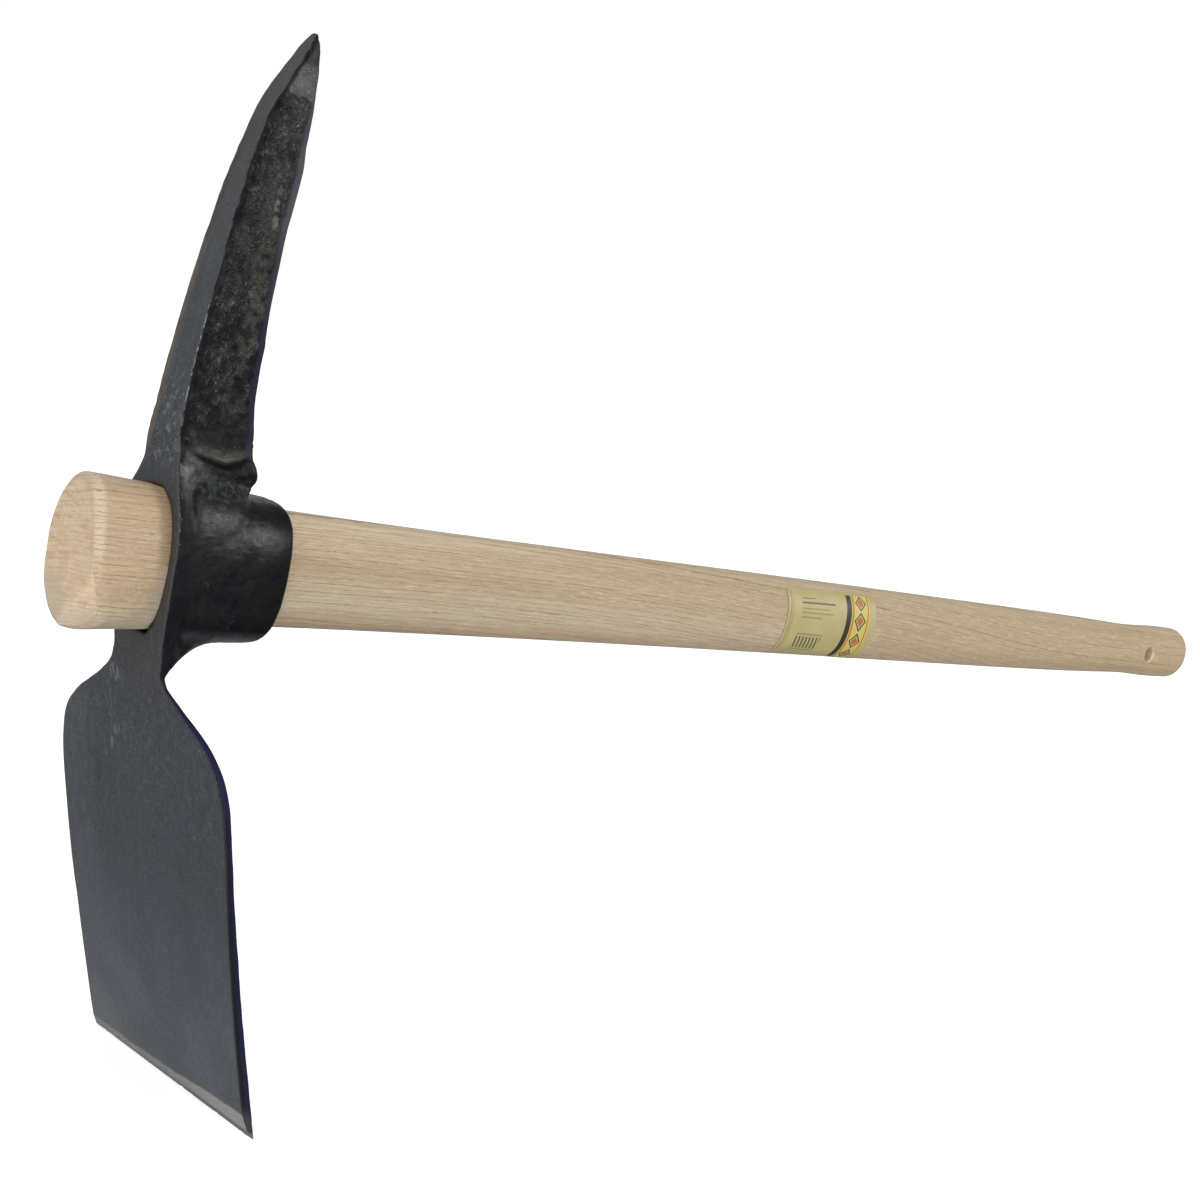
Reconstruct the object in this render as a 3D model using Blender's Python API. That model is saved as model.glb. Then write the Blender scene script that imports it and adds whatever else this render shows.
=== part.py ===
"""Road hoe: a forged steel head with a pick point and a straight hoe blade,
on a slip-through oval ash handle.

Metres, +Z up. The origin is the centre of the flat end face of the handle's
butt. +X runs along the handle towards the grip, +Z towards the pick point,
and the blade hangs down in -Z. The tool is symmetric about Y = 0, apart from
the paper label on the -Y side.
"""
import math

import bmesh
import bpy

MM = 0.001

# ---------------------------------------------------------------- handle
HANDLE_LENGTH = 1040.5          # butt face to the end of the knob
BUTT_HALF_HEIGHT = 35.4         # oval butt, 71 x 47 mm
BUTT_HALF_WIDTH = 23.2
BUTT_CHAMFER = 3.6              # sloping band round the end face
BUTT_CHAMFER_INSET = 3.8
EYE_HALF_HEIGHT = 32.6          # where the butt enters the eye
EYE_HALF_WIDTH = 22.2
COLLAR_HALF_HEIGHT = 28.9       # where the shaft leaves the collar
COLLAR_HALF_WIDTH = 20.8
MIDDLE_HALF_HEIGHT = 24.5
MIDDLE_HALF_WIDTH = 18.2
WAIST_HALF_HEIGHT = 19.3        # just before the hanging hole
WAIST_HALF_WIDTH = 16.4
KNOB_HALF_HEIGHT = 20.4
KNOB_HALF_WIDTH = 17.3
KNOB_ROUND = 13.0               # rounding at the grip end
GRIP_DROP = 1.4                 # the grip hangs this far below the butt's axis
HANDLE_SEGMENTS = 48

# (x, half height, half width, exponent of the oval)
HANDLE_STATIONS = [
    (BUTT_CHAMFER, BUTT_HALF_HEIGHT, BUTT_HALF_WIDTH, 2.25),
    (19.0, 33.9, 22.8, 2.3),
    (37.0, EYE_HALF_HEIGHT, EYE_HALF_WIDTH, 2.35),
    (68.0, 30.6, 21.4, 2.3),
    (102.0, COLLAR_HALF_HEIGHT, COLLAR_HALF_WIDTH, 2.25),
    (157.0, 27.8, 20.1, 2.2),
    (296.0, 26.1, 19.0, 2.2),
    (496.0, MIDDLE_HALF_HEIGHT, MIDDLE_HALF_WIDTH, 2.2),
    (696.0, 23.0, 17.5, 2.2),
    (846.0, 21.4, 16.9, 2.2),
    (901.0, 20.4, 16.6, 2.15),
    (953.0, WAIST_HALF_HEIGHT, WAIST_HALF_WIDTH, 2.1),
    (1003.0, KNOB_HALF_HEIGHT, KNOB_HALF_WIDTH, 2.1),
    (HANDLE_LENGTH - KNOB_ROUND, 20.2, KNOB_HALF_WIDTH, 2.1),
]

HOLE_X = 972.0                  # hanging hole, drilled through along Y
HOLE_DIAMETER = 12.0
HOLE_SEGMENTS = 40

# ------------------------------------------------------------------ eye
BORE_CLEARANCE = 0.35           # modelling gap round the seated handle
COLLAR_REAR_X = 102.0
COLLAR_REAR_HALF_HEIGHT = 34.4
COLLAR_REAR_HALF_WIDTH = 28.0
COLLAR_REAR_ROUND = 4.0
COLLAR_MID_HALF_HEIGHT = 37.6
COLLAR_DROP = 1.2               # the collar hangs a little low on the eye
COLLAR_FRONT_HALF_WIDTH = 26.3
COLLAR_SEGMENTS = 56

# ----------------------------------------------------------- head, front
# The front of the head is one continuous face from the point to the edge.
# (z, x of the front face, half width of the front face)
FRONT_FACE = [
    (-265.0, 116.3, 70.0),
    (-255.0, 112.0, 69.6),
    (-230.0, 102.7, 69.7),
    (-200.0, 91.7, 70.0),
    (-170.0, 81.1, 70.6),
    (-140.0, 71.4, 70.7),
    (-120.0, 65.4, 70.8),
    (-108.0, 62.2, 70.5),
    (-100.0, 60.3, 69.6),
    (-94.0, 58.8, 68.1),
    (-88.0, 57.5, 65.2),
    (-82.0, 56.3, 60.4),
    (-76.0, 54.8, 53.8),
    (-70.0, 52.8, 44.6),
    (-64.0, 50.5, 34.0),
    (-59.0, 48.8, 26.6),
    (-56.0, 47.9, 23.2),
    (-52.0, 46.7, 21.3),
    (-46.0, 45.1, 21.0),
    (-40.0, 43.4, 21.3),
    (-31.0, 41.0, 23.4),
    (-20.0, 38.7, 25.8),
    (-8.0, 37.1, 27.0),
    (6.0, 36.4, 27.0),
    (18.0, 36.3, 25.2),
    (29.0, 36.4, 21.0),
    (38.0, 36.5, 16.9),
    (46.0, 36.3, 14.2),
    (55.0, 35.5, 13.3),
    (68.0, 35.0, 11.7),
    (86.0, 35.5, 10.9),
    (110.0, 37.1, 10.3),
    (134.0, 39.4, 9.7),
    (158.0, 42.1, 8.6),
    (182.0, 45.6, 7.3),
    (200.0, 48.9, 6.7),
    (208.0, 51.4, 6.5),
    (218.0, 55.9, 6.0),
    (232.0, 62.9, 4.9),
    (242.0, 68.0, 3.5),
    (246.3, 70.4, 1.9),
]
# (z, thickness at the sides, thickness on the centre line)
HEAD_DEPTH = [
    (-257.0, 3.4, 3.6),
    (-200.0, 3.5, 4.2),
    (-140.0, 3.4, 4.8),
    (-110.0, 3.3, 5.4),
    (-90.0, 3.1, 6.0),
    (-70.0, 2.9, 6.4),
    (-62.0, 2.6, 6.6),
    (-56.0, 2.1, 6.8),
    (-51.0, 2.7, 8.4),
    (-47.0, 4.4, 12.5),
    (-43.0, 8.0, 19.0),
    (-40.0, 12.0, 25.0),
    (-37.0, 17.0, 31.0),
    (-33.0, 24.0, 37.0),
    (-25.0, 28.0, 38.0),
    (-12.0, 18.0, 18.0),
    (12.0, 18.0, 18.0),
    (30.0, 36.0, 38.0),
    (38.0, 43.5, 44.5),
    (44.0, 46.2, 47.4),
    (48.0, 45.8, 47.0),
    (53.0, 43.2, 44.4),
    (60.0, 41.8, 42.8),
    (78.0, 40.2, 41.2),
    (102.0, 37.3, 38.3),
    (134.0, 33.4, 34.4),
    (166.0, 31.1, 32.1),
    (186.0, 29.7, 30.7),
    (200.0, 27.4, 28.3),
    (208.0, 24.6, 25.5),
    (218.0, 19.3, 20.1),
    (232.0, 11.0, 11.6),
    (242.0, 5.0, 5.4),
    (246.3, 1.9, 1.9),
]
GROUND_BEVEL = 8.0              # height of the ground strip at the cutting edge
GROUND_FRONT = 1.5              # steel taken off the front face at the edge
GROUND_REAR = 1.1               # and off the rear face
EDGE_Z = -265.0
POINT_Z = 246.3
PICK_REAR_NARROWING = 0.93      # back of the pick is a little narrower

# ---------------------------------------------------------------- label
LABEL_X0, LABEL_X1 = 495.5, 589.5
LABEL_TOP, LABEL_BOTTOM = 56.0, -65.0     # degrees above and below -Y
LABEL_GAP = 0.3
LABEL_THICKNESS = 0.35


# ------------------------------------------------------------- functions
def smooth_table(table, t, column):
    """Value of one column of a station table, on a monotone cubic through it."""
    xs = [row[0] for row in table]
    ys = [row[column] for row in table]
    if t <= xs[0]:
        return ys[0]
    if t >= xs[-1]:
        return ys[-1]
    i = max(k for k in range(len(xs) - 1) if xs[k] <= t)

    def slope(k):
        if k == 0:
            return (ys[1] - ys[0]) / (xs[1] - xs[0])
        if k == len(xs) - 1:
            return (ys[-1] - ys[-2]) / (xs[-1] - xs[-2])
        before = (ys[k] - ys[k - 1]) / (xs[k] - xs[k - 1])
        after = (ys[k + 1] - ys[k]) / (xs[k + 1] - xs[k])
        if before * after <= 0.0:
            return 0.0
        return 2.0 * before * after / (before + after)

    h = xs[i + 1] - xs[i]
    u = (t - xs[i]) / h
    return ((2 * u ** 3 - 3 * u ** 2 + 1) * ys[i]
            + (u ** 3 - 2 * u ** 2 + u) * h * slope(i)
            + (-2 * u ** 3 + 3 * u ** 2) * ys[i + 1]
            + (u ** 3 - u ** 2) * h * slope(i + 1))


def oval_point(half_width, half_height, exponent, angle):
    """Point of a superellipse; angle 0 is +Y, 90 degrees is +Z."""
    c, s = math.cos(angle), math.sin(angle)
    y = math.copysign(abs(c) ** (2.0 / exponent), c) * half_width
    z = math.copysign(abs(s) ** (2.0 / exponent), s) * half_height
    return y, z


def grip_drop(x):
    """The shaft's centre line is straight in the eye and sinks to the grip."""
    u = min(max((x - 420.0) / 560.0, 0.0), 1.0)
    return -GRIP_DROP * u * u * (3.0 - 2.0 * u)


def handle_section(x):
    return (smooth_table(HANDLE_STATIONS, x, 1),
            smooth_table(HANDLE_STATIONS, x, 2),
            smooth_table(HANDLE_STATIONS, x, 3))


def handle_ring(x, grow=0.0, segments=HANDLE_SEGMENTS, inset=0.0, at=None):
    """Ring of the handle's section at x, grown or inset, placed at `at`."""
    h, w, n = handle_section(x)
    h, w = h + grow - inset, w + grow - inset
    ring = []
    for k in range(segments):
        y, z = oval_point(w, h, n, 2.0 * math.pi * k / segments)
        ring.append((x if at is None else at, y, z + grip_drop(x)))
    return ring


def loft(bm, rings):
    """Skin a list of equal rings with quads and close both ends."""
    rows = [[bm.verts.new([c * MM for c in point]) for point in ring]
            for ring in rings]
    count = len(rows[0])
    for a, b in zip(rows, rows[1:]):
        for k in range(count):
            j = (k + 1) % count
            bm.faces.new((a[k], a[j], b[j], b[k]))
    bm.faces.new(rows[0])
    bm.faces.new(rows[-1])
    bmesh.ops.recalc_face_normals(bm, faces=bm.faces)


def mesh_object(name, rings, collection, material=None, sharp=30.0):
    mesh = bpy.data.meshes.new(name)
    bm = bmesh.new()
    loft(bm, rings)
    bm.to_mesh(mesh)
    bm.free()
    mesh.shade_smooth()
    mesh.set_sharp_from_angle(angle=math.radians(sharp))
    if material is not None:
        mesh.materials.append(material)
    obj = bpy.data.objects.new(name, mesh)
    collection.objects.link(obj)
    return obj


def principled(name, colour, roughness, metallic):
    material = bpy.data.materials.new(name)
    material.use_nodes = True
    shader = material.node_tree.nodes["Principled BSDF"]
    shader.inputs["Base Color"].default_value = (*colour, 1.0)
    shader.inputs["Roughness"].default_value = roughness
    shader.inputs["Metallic"].default_value = metallic
    material.diffuse_color = (*colour, 1.0)
    return material


def boolean(obj, operation, other):
    modifier = obj.modifiers.new(operation.title() + " " + other.name, "BOOLEAN")
    modifier.operation = operation
    modifier.object = other
    modifier.solver = "EXACT"


def new_cutter(obj):
    obj.hide_render = True
    obj.display_type = "WIRE"
    return obj


def front_x(z):
    return smooth_table(FRONT_FACE, z, 1)


# ---------------------------------------------------------------- pieces
def build_handle(parts, cutters, material):
    """One piece of ash: chamfered butt, tapering oval shaft, waist and knob."""
    rings = [handle_ring(BUTT_CHAMFER, inset=BUTT_CHAMFER_INSET, at=0.0)]
    stops = [BUTT_CHAMFER, 11, 19, 28, 37, 48, 60, 74, 88, 102, 128, 158,
             200, 250, 300, 360, 420, 480, 540, 600, 660, 720, 780, 830,
             870, 900, 925, 942, 958, 972, 986, 998, 1010, 1024,
             HANDLE_LENGTH - KNOB_ROUND]
    rings += [handle_ring(x) for x in stops]
    start = HANDLE_LENGTH - KNOB_ROUND
    steps = 6
    for k in range(1, steps + 1):
        a = math.radians(82.0) * k / steps
        rings.append(handle_ring(start, inset=KNOB_ROUND * 0.92 * (1.0 - math.cos(a)),
                                 at=start + KNOB_ROUND * math.sin(a) / math.sin(math.radians(82.0))))
    handle = mesh_object("ash_handle", rings, parts, material)

    bpy.ops.mesh.primitive_cylinder_add(
        vertices=HOLE_SEGMENTS, radius=HOLE_DIAMETER / 2 * MM, depth=60 * MM,
        location=(HOLE_X * MM, 0.0, grip_drop(HOLE_X) * MM),
        rotation=(math.pi / 2, 0.0, 0.0))
    hole = bpy.context.active_object
    hole.name = "hanging_hole_cutter"
    for collection in list(hole.users_collection):
        collection.objects.unlink(hole)
    cutters.objects.link(new_cutter(hole))
    boolean(handle, "DIFFERENCE", hole)
    return handle


def spine_ring(z):
    """Horizontal section of the pick, eye plate, neck or blade at height z."""
    xf = front_x(z)
    w = smooth_table(FRONT_FACE, z, 2)
    side = smooth_table(HEAD_DEPTH, z, 1)
    middle = smooth_table(HEAD_DEPTH, z, 2)
    narrow = 1.0
    if z > 36.0:
        narrow = 1.0 - (1.0 - PICK_REAR_NARROWING) * min((z - 36.0) / 20.0, 1.0)
    c = 0.2 if z < -50.0 else min(1.0, side * 0.2, w * 0.25)
    xs = xf + side
    steps = 8
    front, rear = [], []
    for k in range(steps + 1):
        u = -1.0 + 2.0 * k / steps
        front.append((xf, u * (w - c), z))
        rear.append((xs + (middle - side) * (1.0 - u * u), u * (w * narrow - c), z))
    right = [(xf + c, w, z), ((xf + xs) / 2, w * (1.0 + narrow) / 2, z),
             (xs - c, w * narrow, z)]
    left = [(x, -y, zz) for x, y, zz in reversed(right)]
    return front + right + list(reversed(rear)) + left


def ground_ring(z):
    """Section inside the ground strip, where both faces slope to the edge."""
    t = min(max((EDGE_Z + GROUND_BEVEL - z) / GROUND_BEVEL, 0.0), 1.0)
    front = front_x(z)
    full = smooth_table(HEAD_DEPTH, z, 1)
    left = full - (GROUND_FRONT + GROUND_REAR) * t
    return [(front + GROUND_FRONT * t + (x - front) * left / full, y, zz)
            for x, y, zz in spine_ring(z)]


def collar_ring(t, x_offset=0.0, scale=1.0):
    """Outer section of the collar; t is 0 at the front face, 1 at the rear rim."""
    ring = []
    half_width = COLLAR_FRONT_HALF_WIDTH + (COLLAR_REAR_HALF_WIDTH - COLLAR_FRONT_HALF_WIDTH) * min(t * 1.6, 1.0)
    half_height = COLLAR_MID_HALF_HEIGHT + (COLLAR_REAR_HALF_HEIGHT - COLLAR_MID_HALF_HEIGHT) * t ** 1.5
    for k in range(COLLAR_SEGMENTS):
        y, z = oval_point(half_width * scale, half_height * scale, 2.45 + 0.25 * t,
                          2.0 * math.pi * (k + 0.5) / COLLAR_SEGMENTS)
        x0 = front_x(z) + 3.0
        ring.append((x0 + (COLLAR_REAR_X - x0) * t + x_offset, y, z - COLLAR_DROP))
    return ring


def build_head(parts, cutters, material):
    """One forging: pick point, eye with its collar, neck and hoe blade."""
    heights = [EDGE_Z, -261.0, EDGE_Z + GROUND_BEVEL, -240, -220, -200, -180,
               -160, -140, -125, -115, -107, -100, -94, -88, -82, -76, -70,
               -65, -60, -56, -52, -48, -44, -41, -38, -34, -28, -20, -10, 0,
               8, 16, 23, 30, 36, 41, 45, 49, 54, 60, 70, 82, 96, 112, 128, 145,
               162, 178, 192, 202, 210, 220, 230, 238, 243, POINT_Z]
    rings = [ground_ring(z) if z <= EDGE_Z + GROUND_BEVEL else spine_ring(z)
             for z in heights]
    head = mesh_object("forged_head", rings, parts, material)

    collar = [collar_ring(k / 7.0) for k in range(7)]
    back = 1.0 - COLLAR_REAR_ROUND / 60.0
    collar.append(collar_ring(back))
    for k in range(1, 5):
        a = math.pi / 2 * k / 4
        collar.append(collar_ring(
            back, x_offset=COLLAR_REAR_ROUND * math.sin(a),
            scale=1.0 - COLLAR_REAR_ROUND * 0.72 / 31.0 * (1.0 - math.cos(a))))
    collar = new_cutter(mesh_object("collar_form", collar, cutters))
    boolean(head, "UNION", collar)

    stops = [19, 28, 37, 48, 60, 74, 88, 102, 115]
    bore = new_cutter(mesh_object(
        "eye_bore_cutter",
        [handle_ring(x, grow=BORE_CLEARANCE, segments=HANDLE_SEGMENTS) for x in stops],
        cutters))
    boolean(head, "DIFFERENCE", bore)
    return head


def build_label(parts, material):
    """Paper label: a thin skin that follows the near side of the shaft."""
    columns, rows = 14, 22
    mesh = bpy.data.meshes.new("handle_label")
    bm = bmesh.new()

    def layer(grow):
        grid = []
        for i in range(columns + 1):
            x = LABEL_X0 + (LABEL_X1 - LABEL_X0) * i / columns
            h, w, n = handle_section(x)
            line = []
            for j in range(rows + 1):
                a = math.radians(LABEL_BOTTOM + (LABEL_TOP - LABEL_BOTTOM) * j / rows)
                y, z = oval_point(w + grow, h + grow, n, a)
                line.append(bm.verts.new((x * MM, -y * MM, (z + grip_drop(x)) * MM)))
            grid.append(line)
        return grid

    inner = layer(LABEL_GAP)
    outer = layer(LABEL_GAP + LABEL_THICKNESS)
    for i in range(columns):
        for j in range(rows):
            for g in (inner, outer):
                bm.faces.new((g[i][j], g[i + 1][j], g[i + 1][j + 1], g[i][j + 1]))
    border = ([(i, 0) for i in range(columns)]
              + [(columns, j) for j in range(rows)]
              + [(i, rows) for i in range(columns, 0, -1)]
              + [(0, j) for j in range(rows, 0, -1)])
    for (i, j), (k, l) in zip(border, border[1:] + border[:1]):
        bm.faces.new((inner[i][j], inner[k][l], outer[k][l], outer[i][j]))
    bmesh.ops.recalc_face_normals(bm, faces=bm.faces)
    bm.to_mesh(mesh)
    bm.free()
    mesh.shade_smooth()
    mesh.set_sharp_from_angle(angle=math.radians(30.0))
    mesh.materials.append(material)
    label = bpy.data.objects.new("handle_label", mesh)
    parts.objects.link(label)
    return label


def main():
    for obj in list(bpy.data.objects):
        bpy.data.objects.remove(obj, do_unlink=True)
    parts = bpy.data.collections.new("road_hoe")
    cutters = bpy.data.collections.new("cutters")
    bpy.context.scene.collection.children.link(parts)
    bpy.context.scene.collection.children.link(cutters)

    ash = principled("ash", (0.66, 0.49, 0.32), 0.62, 0.0)
    steel = principled("forged_steel", (0.045, 0.05, 0.055), 0.5, 0.6)
    paper = principled("label_paper", (0.72, 0.66, 0.42), 0.45, 0.0)

    handle = build_handle(parts, cutters, ash)
    head = build_head(parts, cutters, steel)
    label = build_label(parts, paper)
    label.parent = handle

    # the head slides off along the handle: an empty on that axis carries it
    slide = bpy.data.objects.new("head_slide_axis", None)
    slide.empty_display_type = "SINGLE_ARROW"
    slide.empty_display_size = 0.1
    parts.objects.link(slide)
    head.parent = slide


main()
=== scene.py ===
"""The finished look of the road hoe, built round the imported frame.

Lengths in the tables are millimetres in the row frame: +X along the handle
towards the grip, +Z towards the pick point, the blade hangs in -Z.
"""

import math

import bmesh
import bpy
import numpy as np
from mathutils import Matrix, Vector


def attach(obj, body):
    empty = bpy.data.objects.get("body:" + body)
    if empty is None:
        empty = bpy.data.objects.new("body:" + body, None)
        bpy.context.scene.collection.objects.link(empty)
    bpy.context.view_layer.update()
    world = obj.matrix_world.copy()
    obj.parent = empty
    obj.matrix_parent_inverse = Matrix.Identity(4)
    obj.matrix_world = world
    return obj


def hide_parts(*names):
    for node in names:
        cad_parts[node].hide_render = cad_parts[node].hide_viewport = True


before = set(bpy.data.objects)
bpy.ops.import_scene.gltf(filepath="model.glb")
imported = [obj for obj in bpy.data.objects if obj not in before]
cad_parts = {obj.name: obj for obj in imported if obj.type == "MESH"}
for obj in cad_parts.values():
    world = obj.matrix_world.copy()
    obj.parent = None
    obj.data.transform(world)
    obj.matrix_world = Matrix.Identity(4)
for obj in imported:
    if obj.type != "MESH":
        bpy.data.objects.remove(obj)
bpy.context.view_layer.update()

MM = 0.001

# ------------------------------------------------------------ driving sizes
HANDLE_LENGTH = 1040.5
BUTT_CHAMFER = 3.6
BUTT_CHAMFER_INSET = 3.8
KNOB_ROUND = 13.0
GRIP_DROP = 1.4
# (x, half height, half width, exponent of the oval)
HANDLE_STATIONS = [
    (3.6, 35.4, 23.2, 2.25), (19.0, 33.9, 22.8, 2.3), (37.0, 32.6, 22.2, 2.35),
    (68.0, 30.6, 21.4, 2.3), (102.0, 28.9, 20.8, 2.25), (157.0, 27.8, 20.1, 2.2),
    (296.0, 26.1, 19.0, 2.2), (496.0, 24.5, 18.2, 2.2), (696.0, 23.0, 17.5, 2.2),
    (846.0, 21.4, 16.9, 2.2), (901.0, 20.4, 16.6, 2.15), (953.0, 19.3, 16.4, 2.1),
    (1003.0, 20.4, 17.3, 2.1), (HANDLE_LENGTH - KNOB_ROUND, 20.2, 17.3, 2.1),
]
# near the eye the wood is cut to a lens: (x, half height, half width, exponent, flat at)
LENS_STATIONS = [
    (3.6, 35.4, 23.2, 2.25, 37.5), (19.0, 34.8, 22.3, 2.14, 34.6), (37.0, 34.5, 20.8, 1.98, 33.2),
    (58.0, 32.6, 20.8, 2.05, 31.8), (80.0, 30.3, 21.2, 2.25, 31.5), (102.0, 28.9, 20.8, 2.25, 30.5),
]
HOLE_X = 972.0
HOLE_RADIUS = 6.0

BORE_CLEARANCE = 0.35
COLLAR_REAR_X = 102.0
COLLAR_REAR_HALF_HEIGHT = 34.4
COLLAR_REAR_HALF_WIDTH = 28.0
COLLAR_MID_HALF_HEIGHT = 37.6
COLLAR_DROP = 1.2
COLLAR_FRONT_HALF_WIDTH = 26.3

# (z, x of the front face, half width of the front face)
FRONT_FACE = [
    (-265.0, 116.3, 70.0), (-255.0, 112.0, 69.6), (-230.0, 102.7, 69.7),
    (-200.0, 91.7, 70.0), (-170.0, 81.1, 70.6), (-140.0, 71.4, 70.7),
    (-120.0, 65.4, 70.8), (-108.0, 62.2, 70.5), (-100.0, 60.3, 69.6),
    (-94.0, 58.8, 68.1), (-88.0, 57.5, 65.2), (-82.0, 56.3, 60.4),
    (-76.0, 54.8, 53.8), (-70.0, 52.8, 44.6), (-64.0, 50.5, 34.0),
    (-59.0, 48.8, 26.6), (-56.0, 47.9, 23.2), (-52.0, 46.7, 21.3),
    (-46.0, 45.1, 21.0), (-40.0, 43.4, 21.3), (-31.0, 41.0, 23.4),
    (-20.0, 38.7, 25.8), (-8.0, 37.1, 27.0), (6.0, 36.4, 27.0),
    (18.0, 36.3, 25.2), (29.0, 36.4, 21.0), (38.0, 36.5, 16.9),
    (46.0, 36.3, 14.2), (55.0, 35.5, 13.3), (68.0, 35.0, 11.7),
    (86.0, 35.5, 10.9), (110.0, 37.1, 10.3), (134.0, 39.4, 9.7),
    (158.0, 42.1, 8.6), (182.0, 45.6, 7.3), (200.0, 48.9, 6.7),
    (208.0, 51.4, 6.5), (218.0, 55.9, 6.0), (232.0, 62.9, 4.9),
    (242.0, 68.0, 3.5), (246.3, 70.4, 1.9),
]
# (z, thickness at the sides, thickness on the centre line)
HEAD_DEPTH = [
    (-257.0, 3.4, 3.6), (-200.0, 3.5, 4.2), (-140.0, 3.4, 4.8),
    (-110.0, 3.3, 5.4), (-90.0, 3.1, 6.0), (-70.0, 2.9, 6.4),
    (-62.0, 2.6, 6.6), (-56.0, 2.1, 6.8), (-51.0, 2.7, 8.4),
    (-47.0, 4.4, 12.5), (-43.0, 8.0, 19.0), (-40.0, 12.0, 25.0),
    (-37.0, 17.0, 31.0), (-33.0, 24.0, 37.0), (-25.0, 28.0, 38.0),
    (-12.0, 18.0, 18.0), (12.0, 18.0, 18.0), (30.0, 36.0, 38.0),
    (38.0, 43.5, 44.5), (44.0, 46.2, 47.4), (48.0, 45.8, 47.0),
    (53.0, 43.2, 44.4), (60.0, 41.8, 42.8), (78.0, 40.2, 41.2),
    (102.0, 37.3, 38.3), (134.0, 33.4, 34.4), (166.0, 31.1, 32.1),
    (186.0, 29.7, 30.7), (200.0, 27.4, 28.3), (208.0, 24.6, 25.5),
    (218.0, 19.3, 20.1), (232.0, 11.0, 11.6), (242.0, 5.0, 5.4),
    (246.3, 1.9, 1.9),
]
# behind the front plate the pick's root is waisted: (z, half width there)
ROOT_WIDTH = [
    (-52.0, 21.3), (-46.0, 20.0), (-40.0, 18.4), (-31.0, 19.0), (-20.0, 21.0), (-8.0, 22.0),
    (6.0, 22.0), (14.0, 21.4), (22.0, 19.6), (29.0, 17.6), (34.0, 15.6), (37.5, 13.9),
    (39.5, 13.0), (42.0, 13.7), (45.0, 14.4), (48.0, 14.2), (52.0, 13.4),
    (57.0, 13.5), (62.0, 12.6), (68.0, 11.7), (76.0, 11.2),
]
EDGE_Z = -265.0
POINT_Z = 246.3
LIP_WIDTH = 2.7
LIP_DEPTH = 0.85


# ------------------------------------------------------------------- tables
# how the real outline leaves the drawn one, in mm: (z, far side), (z, near side), (z, thickness)
FAR_SIDE = [
    (-88.0, 0.0), (-80.0, -0.3), (-72.0, -0.7), (-66.0, 0.3), (-60.0, 1.6), (-56.0, 1.7), (-52.0, 0.5),
    (-46.0, -0.9), (-40.0, -0.5), (-34.0, 0.0), (30.0, 0.0), (38.0, -0.6), (43.0, -0.7), (48.0, -0.15),
    (57.0, 0.0), (62.0, -0.1), (66.0, -0.2), (71.0, -0.45), (76.0, -0.7), (84.0, -0.6), (89.0, -0.45),
    (95.0, -0.7), (140.0, -0.72), (150.0, -0.6), (154.5, -0.8), (159.0, -0.45), (164.0, -0.1), (173.0, -0.2),
    (178.0, -0.55), (187.5, -0.95), (192.5, -1.15), (197.0, -1.5), (202.0, -1.35), (207.0, -1.1),
    (212.0, -0.75), (217.0, -0.3), (227.0, -0.2), (233.0, -0.4), (239.0, -0.05), (244.5, -0.4),
]
NEAR_SIDE = [
    (-125.0, 0.0), (-112.0, -0.9), (-103.0, -1.1), (-94.0, -0.5), (-86.0, 0.4), (-79.0, 0.8), (-73.0, 1.8),
    (-66.0, 2.1), (-60.0, 0.5), (-56.0, -1.4), (-52.0, -2.7), (-46.0, -0.8), (-40.0, 0.0),
]
REAR_SIDE = [
    (-56.0, 0.0), (-51.0, 0.3), (-47.0, 1.3), (-43.0, 1.4), (-39.0, 0.5), (-34.0, 0.0), (39.0, 0.0), (43.0, -0.2), (48.0, -1.25), (52.6, -1.0), (57.2, -0.85), (61.0, 0.7), (65.0, 0.9), (71.0, 0.3),
    (76.0, -0.35), (80.5, -0.5), (88.0, -0.2), (94.5, 0.0), (99.0, 0.35), (104.0, 0.7), (108.5, 0.3),
    (122.5, 0.2), (132.0, 0.5), (141.0, 0.55), (150.0, 0.4), (159.5, 0.4), (164.0, 0.7), (168.5, 0.9),
    (175.0, 1.05), (182.5, 1.0), (187.0, 0.8), (191.0, 0.3), (195.0, -0.2), (199.0, -0.4), (203.5, -1.0),
    (208.0, -0.85), (212.5, -0.35), (217.0, 0.15), (221.5, 0.55), (226.0, 0.9), (230.0, 1.05), (234.5, 0.7),
    (238.5, 0.5), (240.0, 0.15), (242.0, -0.5), (243.5, -1.2), (246.0, -1.5),
]


def spline(table, t, column):
    """One column of a station table on a monotone cubic, for an array of t."""
    xs = np.array([row[0] for row in table], float)
    ys = np.array([row[column] for row in table], float)
    t = np.clip(np.asarray(t, float), xs[0], xs[-1])
    step = np.diff(ys) / np.diff(xs)
    slope = np.zeros(len(xs))
    slope[0], slope[-1] = step[0], step[-1]
    same = step[:-1] * step[1:] > 0
    slope[1:-1][same] = (2 * step[:-1] * step[1:])[same] / (step[:-1] + step[1:])[same]
    i = np.clip(np.searchsorted(xs, t, side="right") - 1, 0, len(xs) - 2)
    h = xs[i + 1] - xs[i]
    u = (t - xs[i]) / h
    return ((2 * u ** 3 - 3 * u ** 2 + 1) * ys[i] + (u ** 3 - 2 * u ** 2 + u) * h * slope[i]
            + (-2 * u ** 3 + 3 * u ** 2) * ys[i + 1] + (u ** 3 - u ** 2) * h * slope[i + 1])


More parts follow.
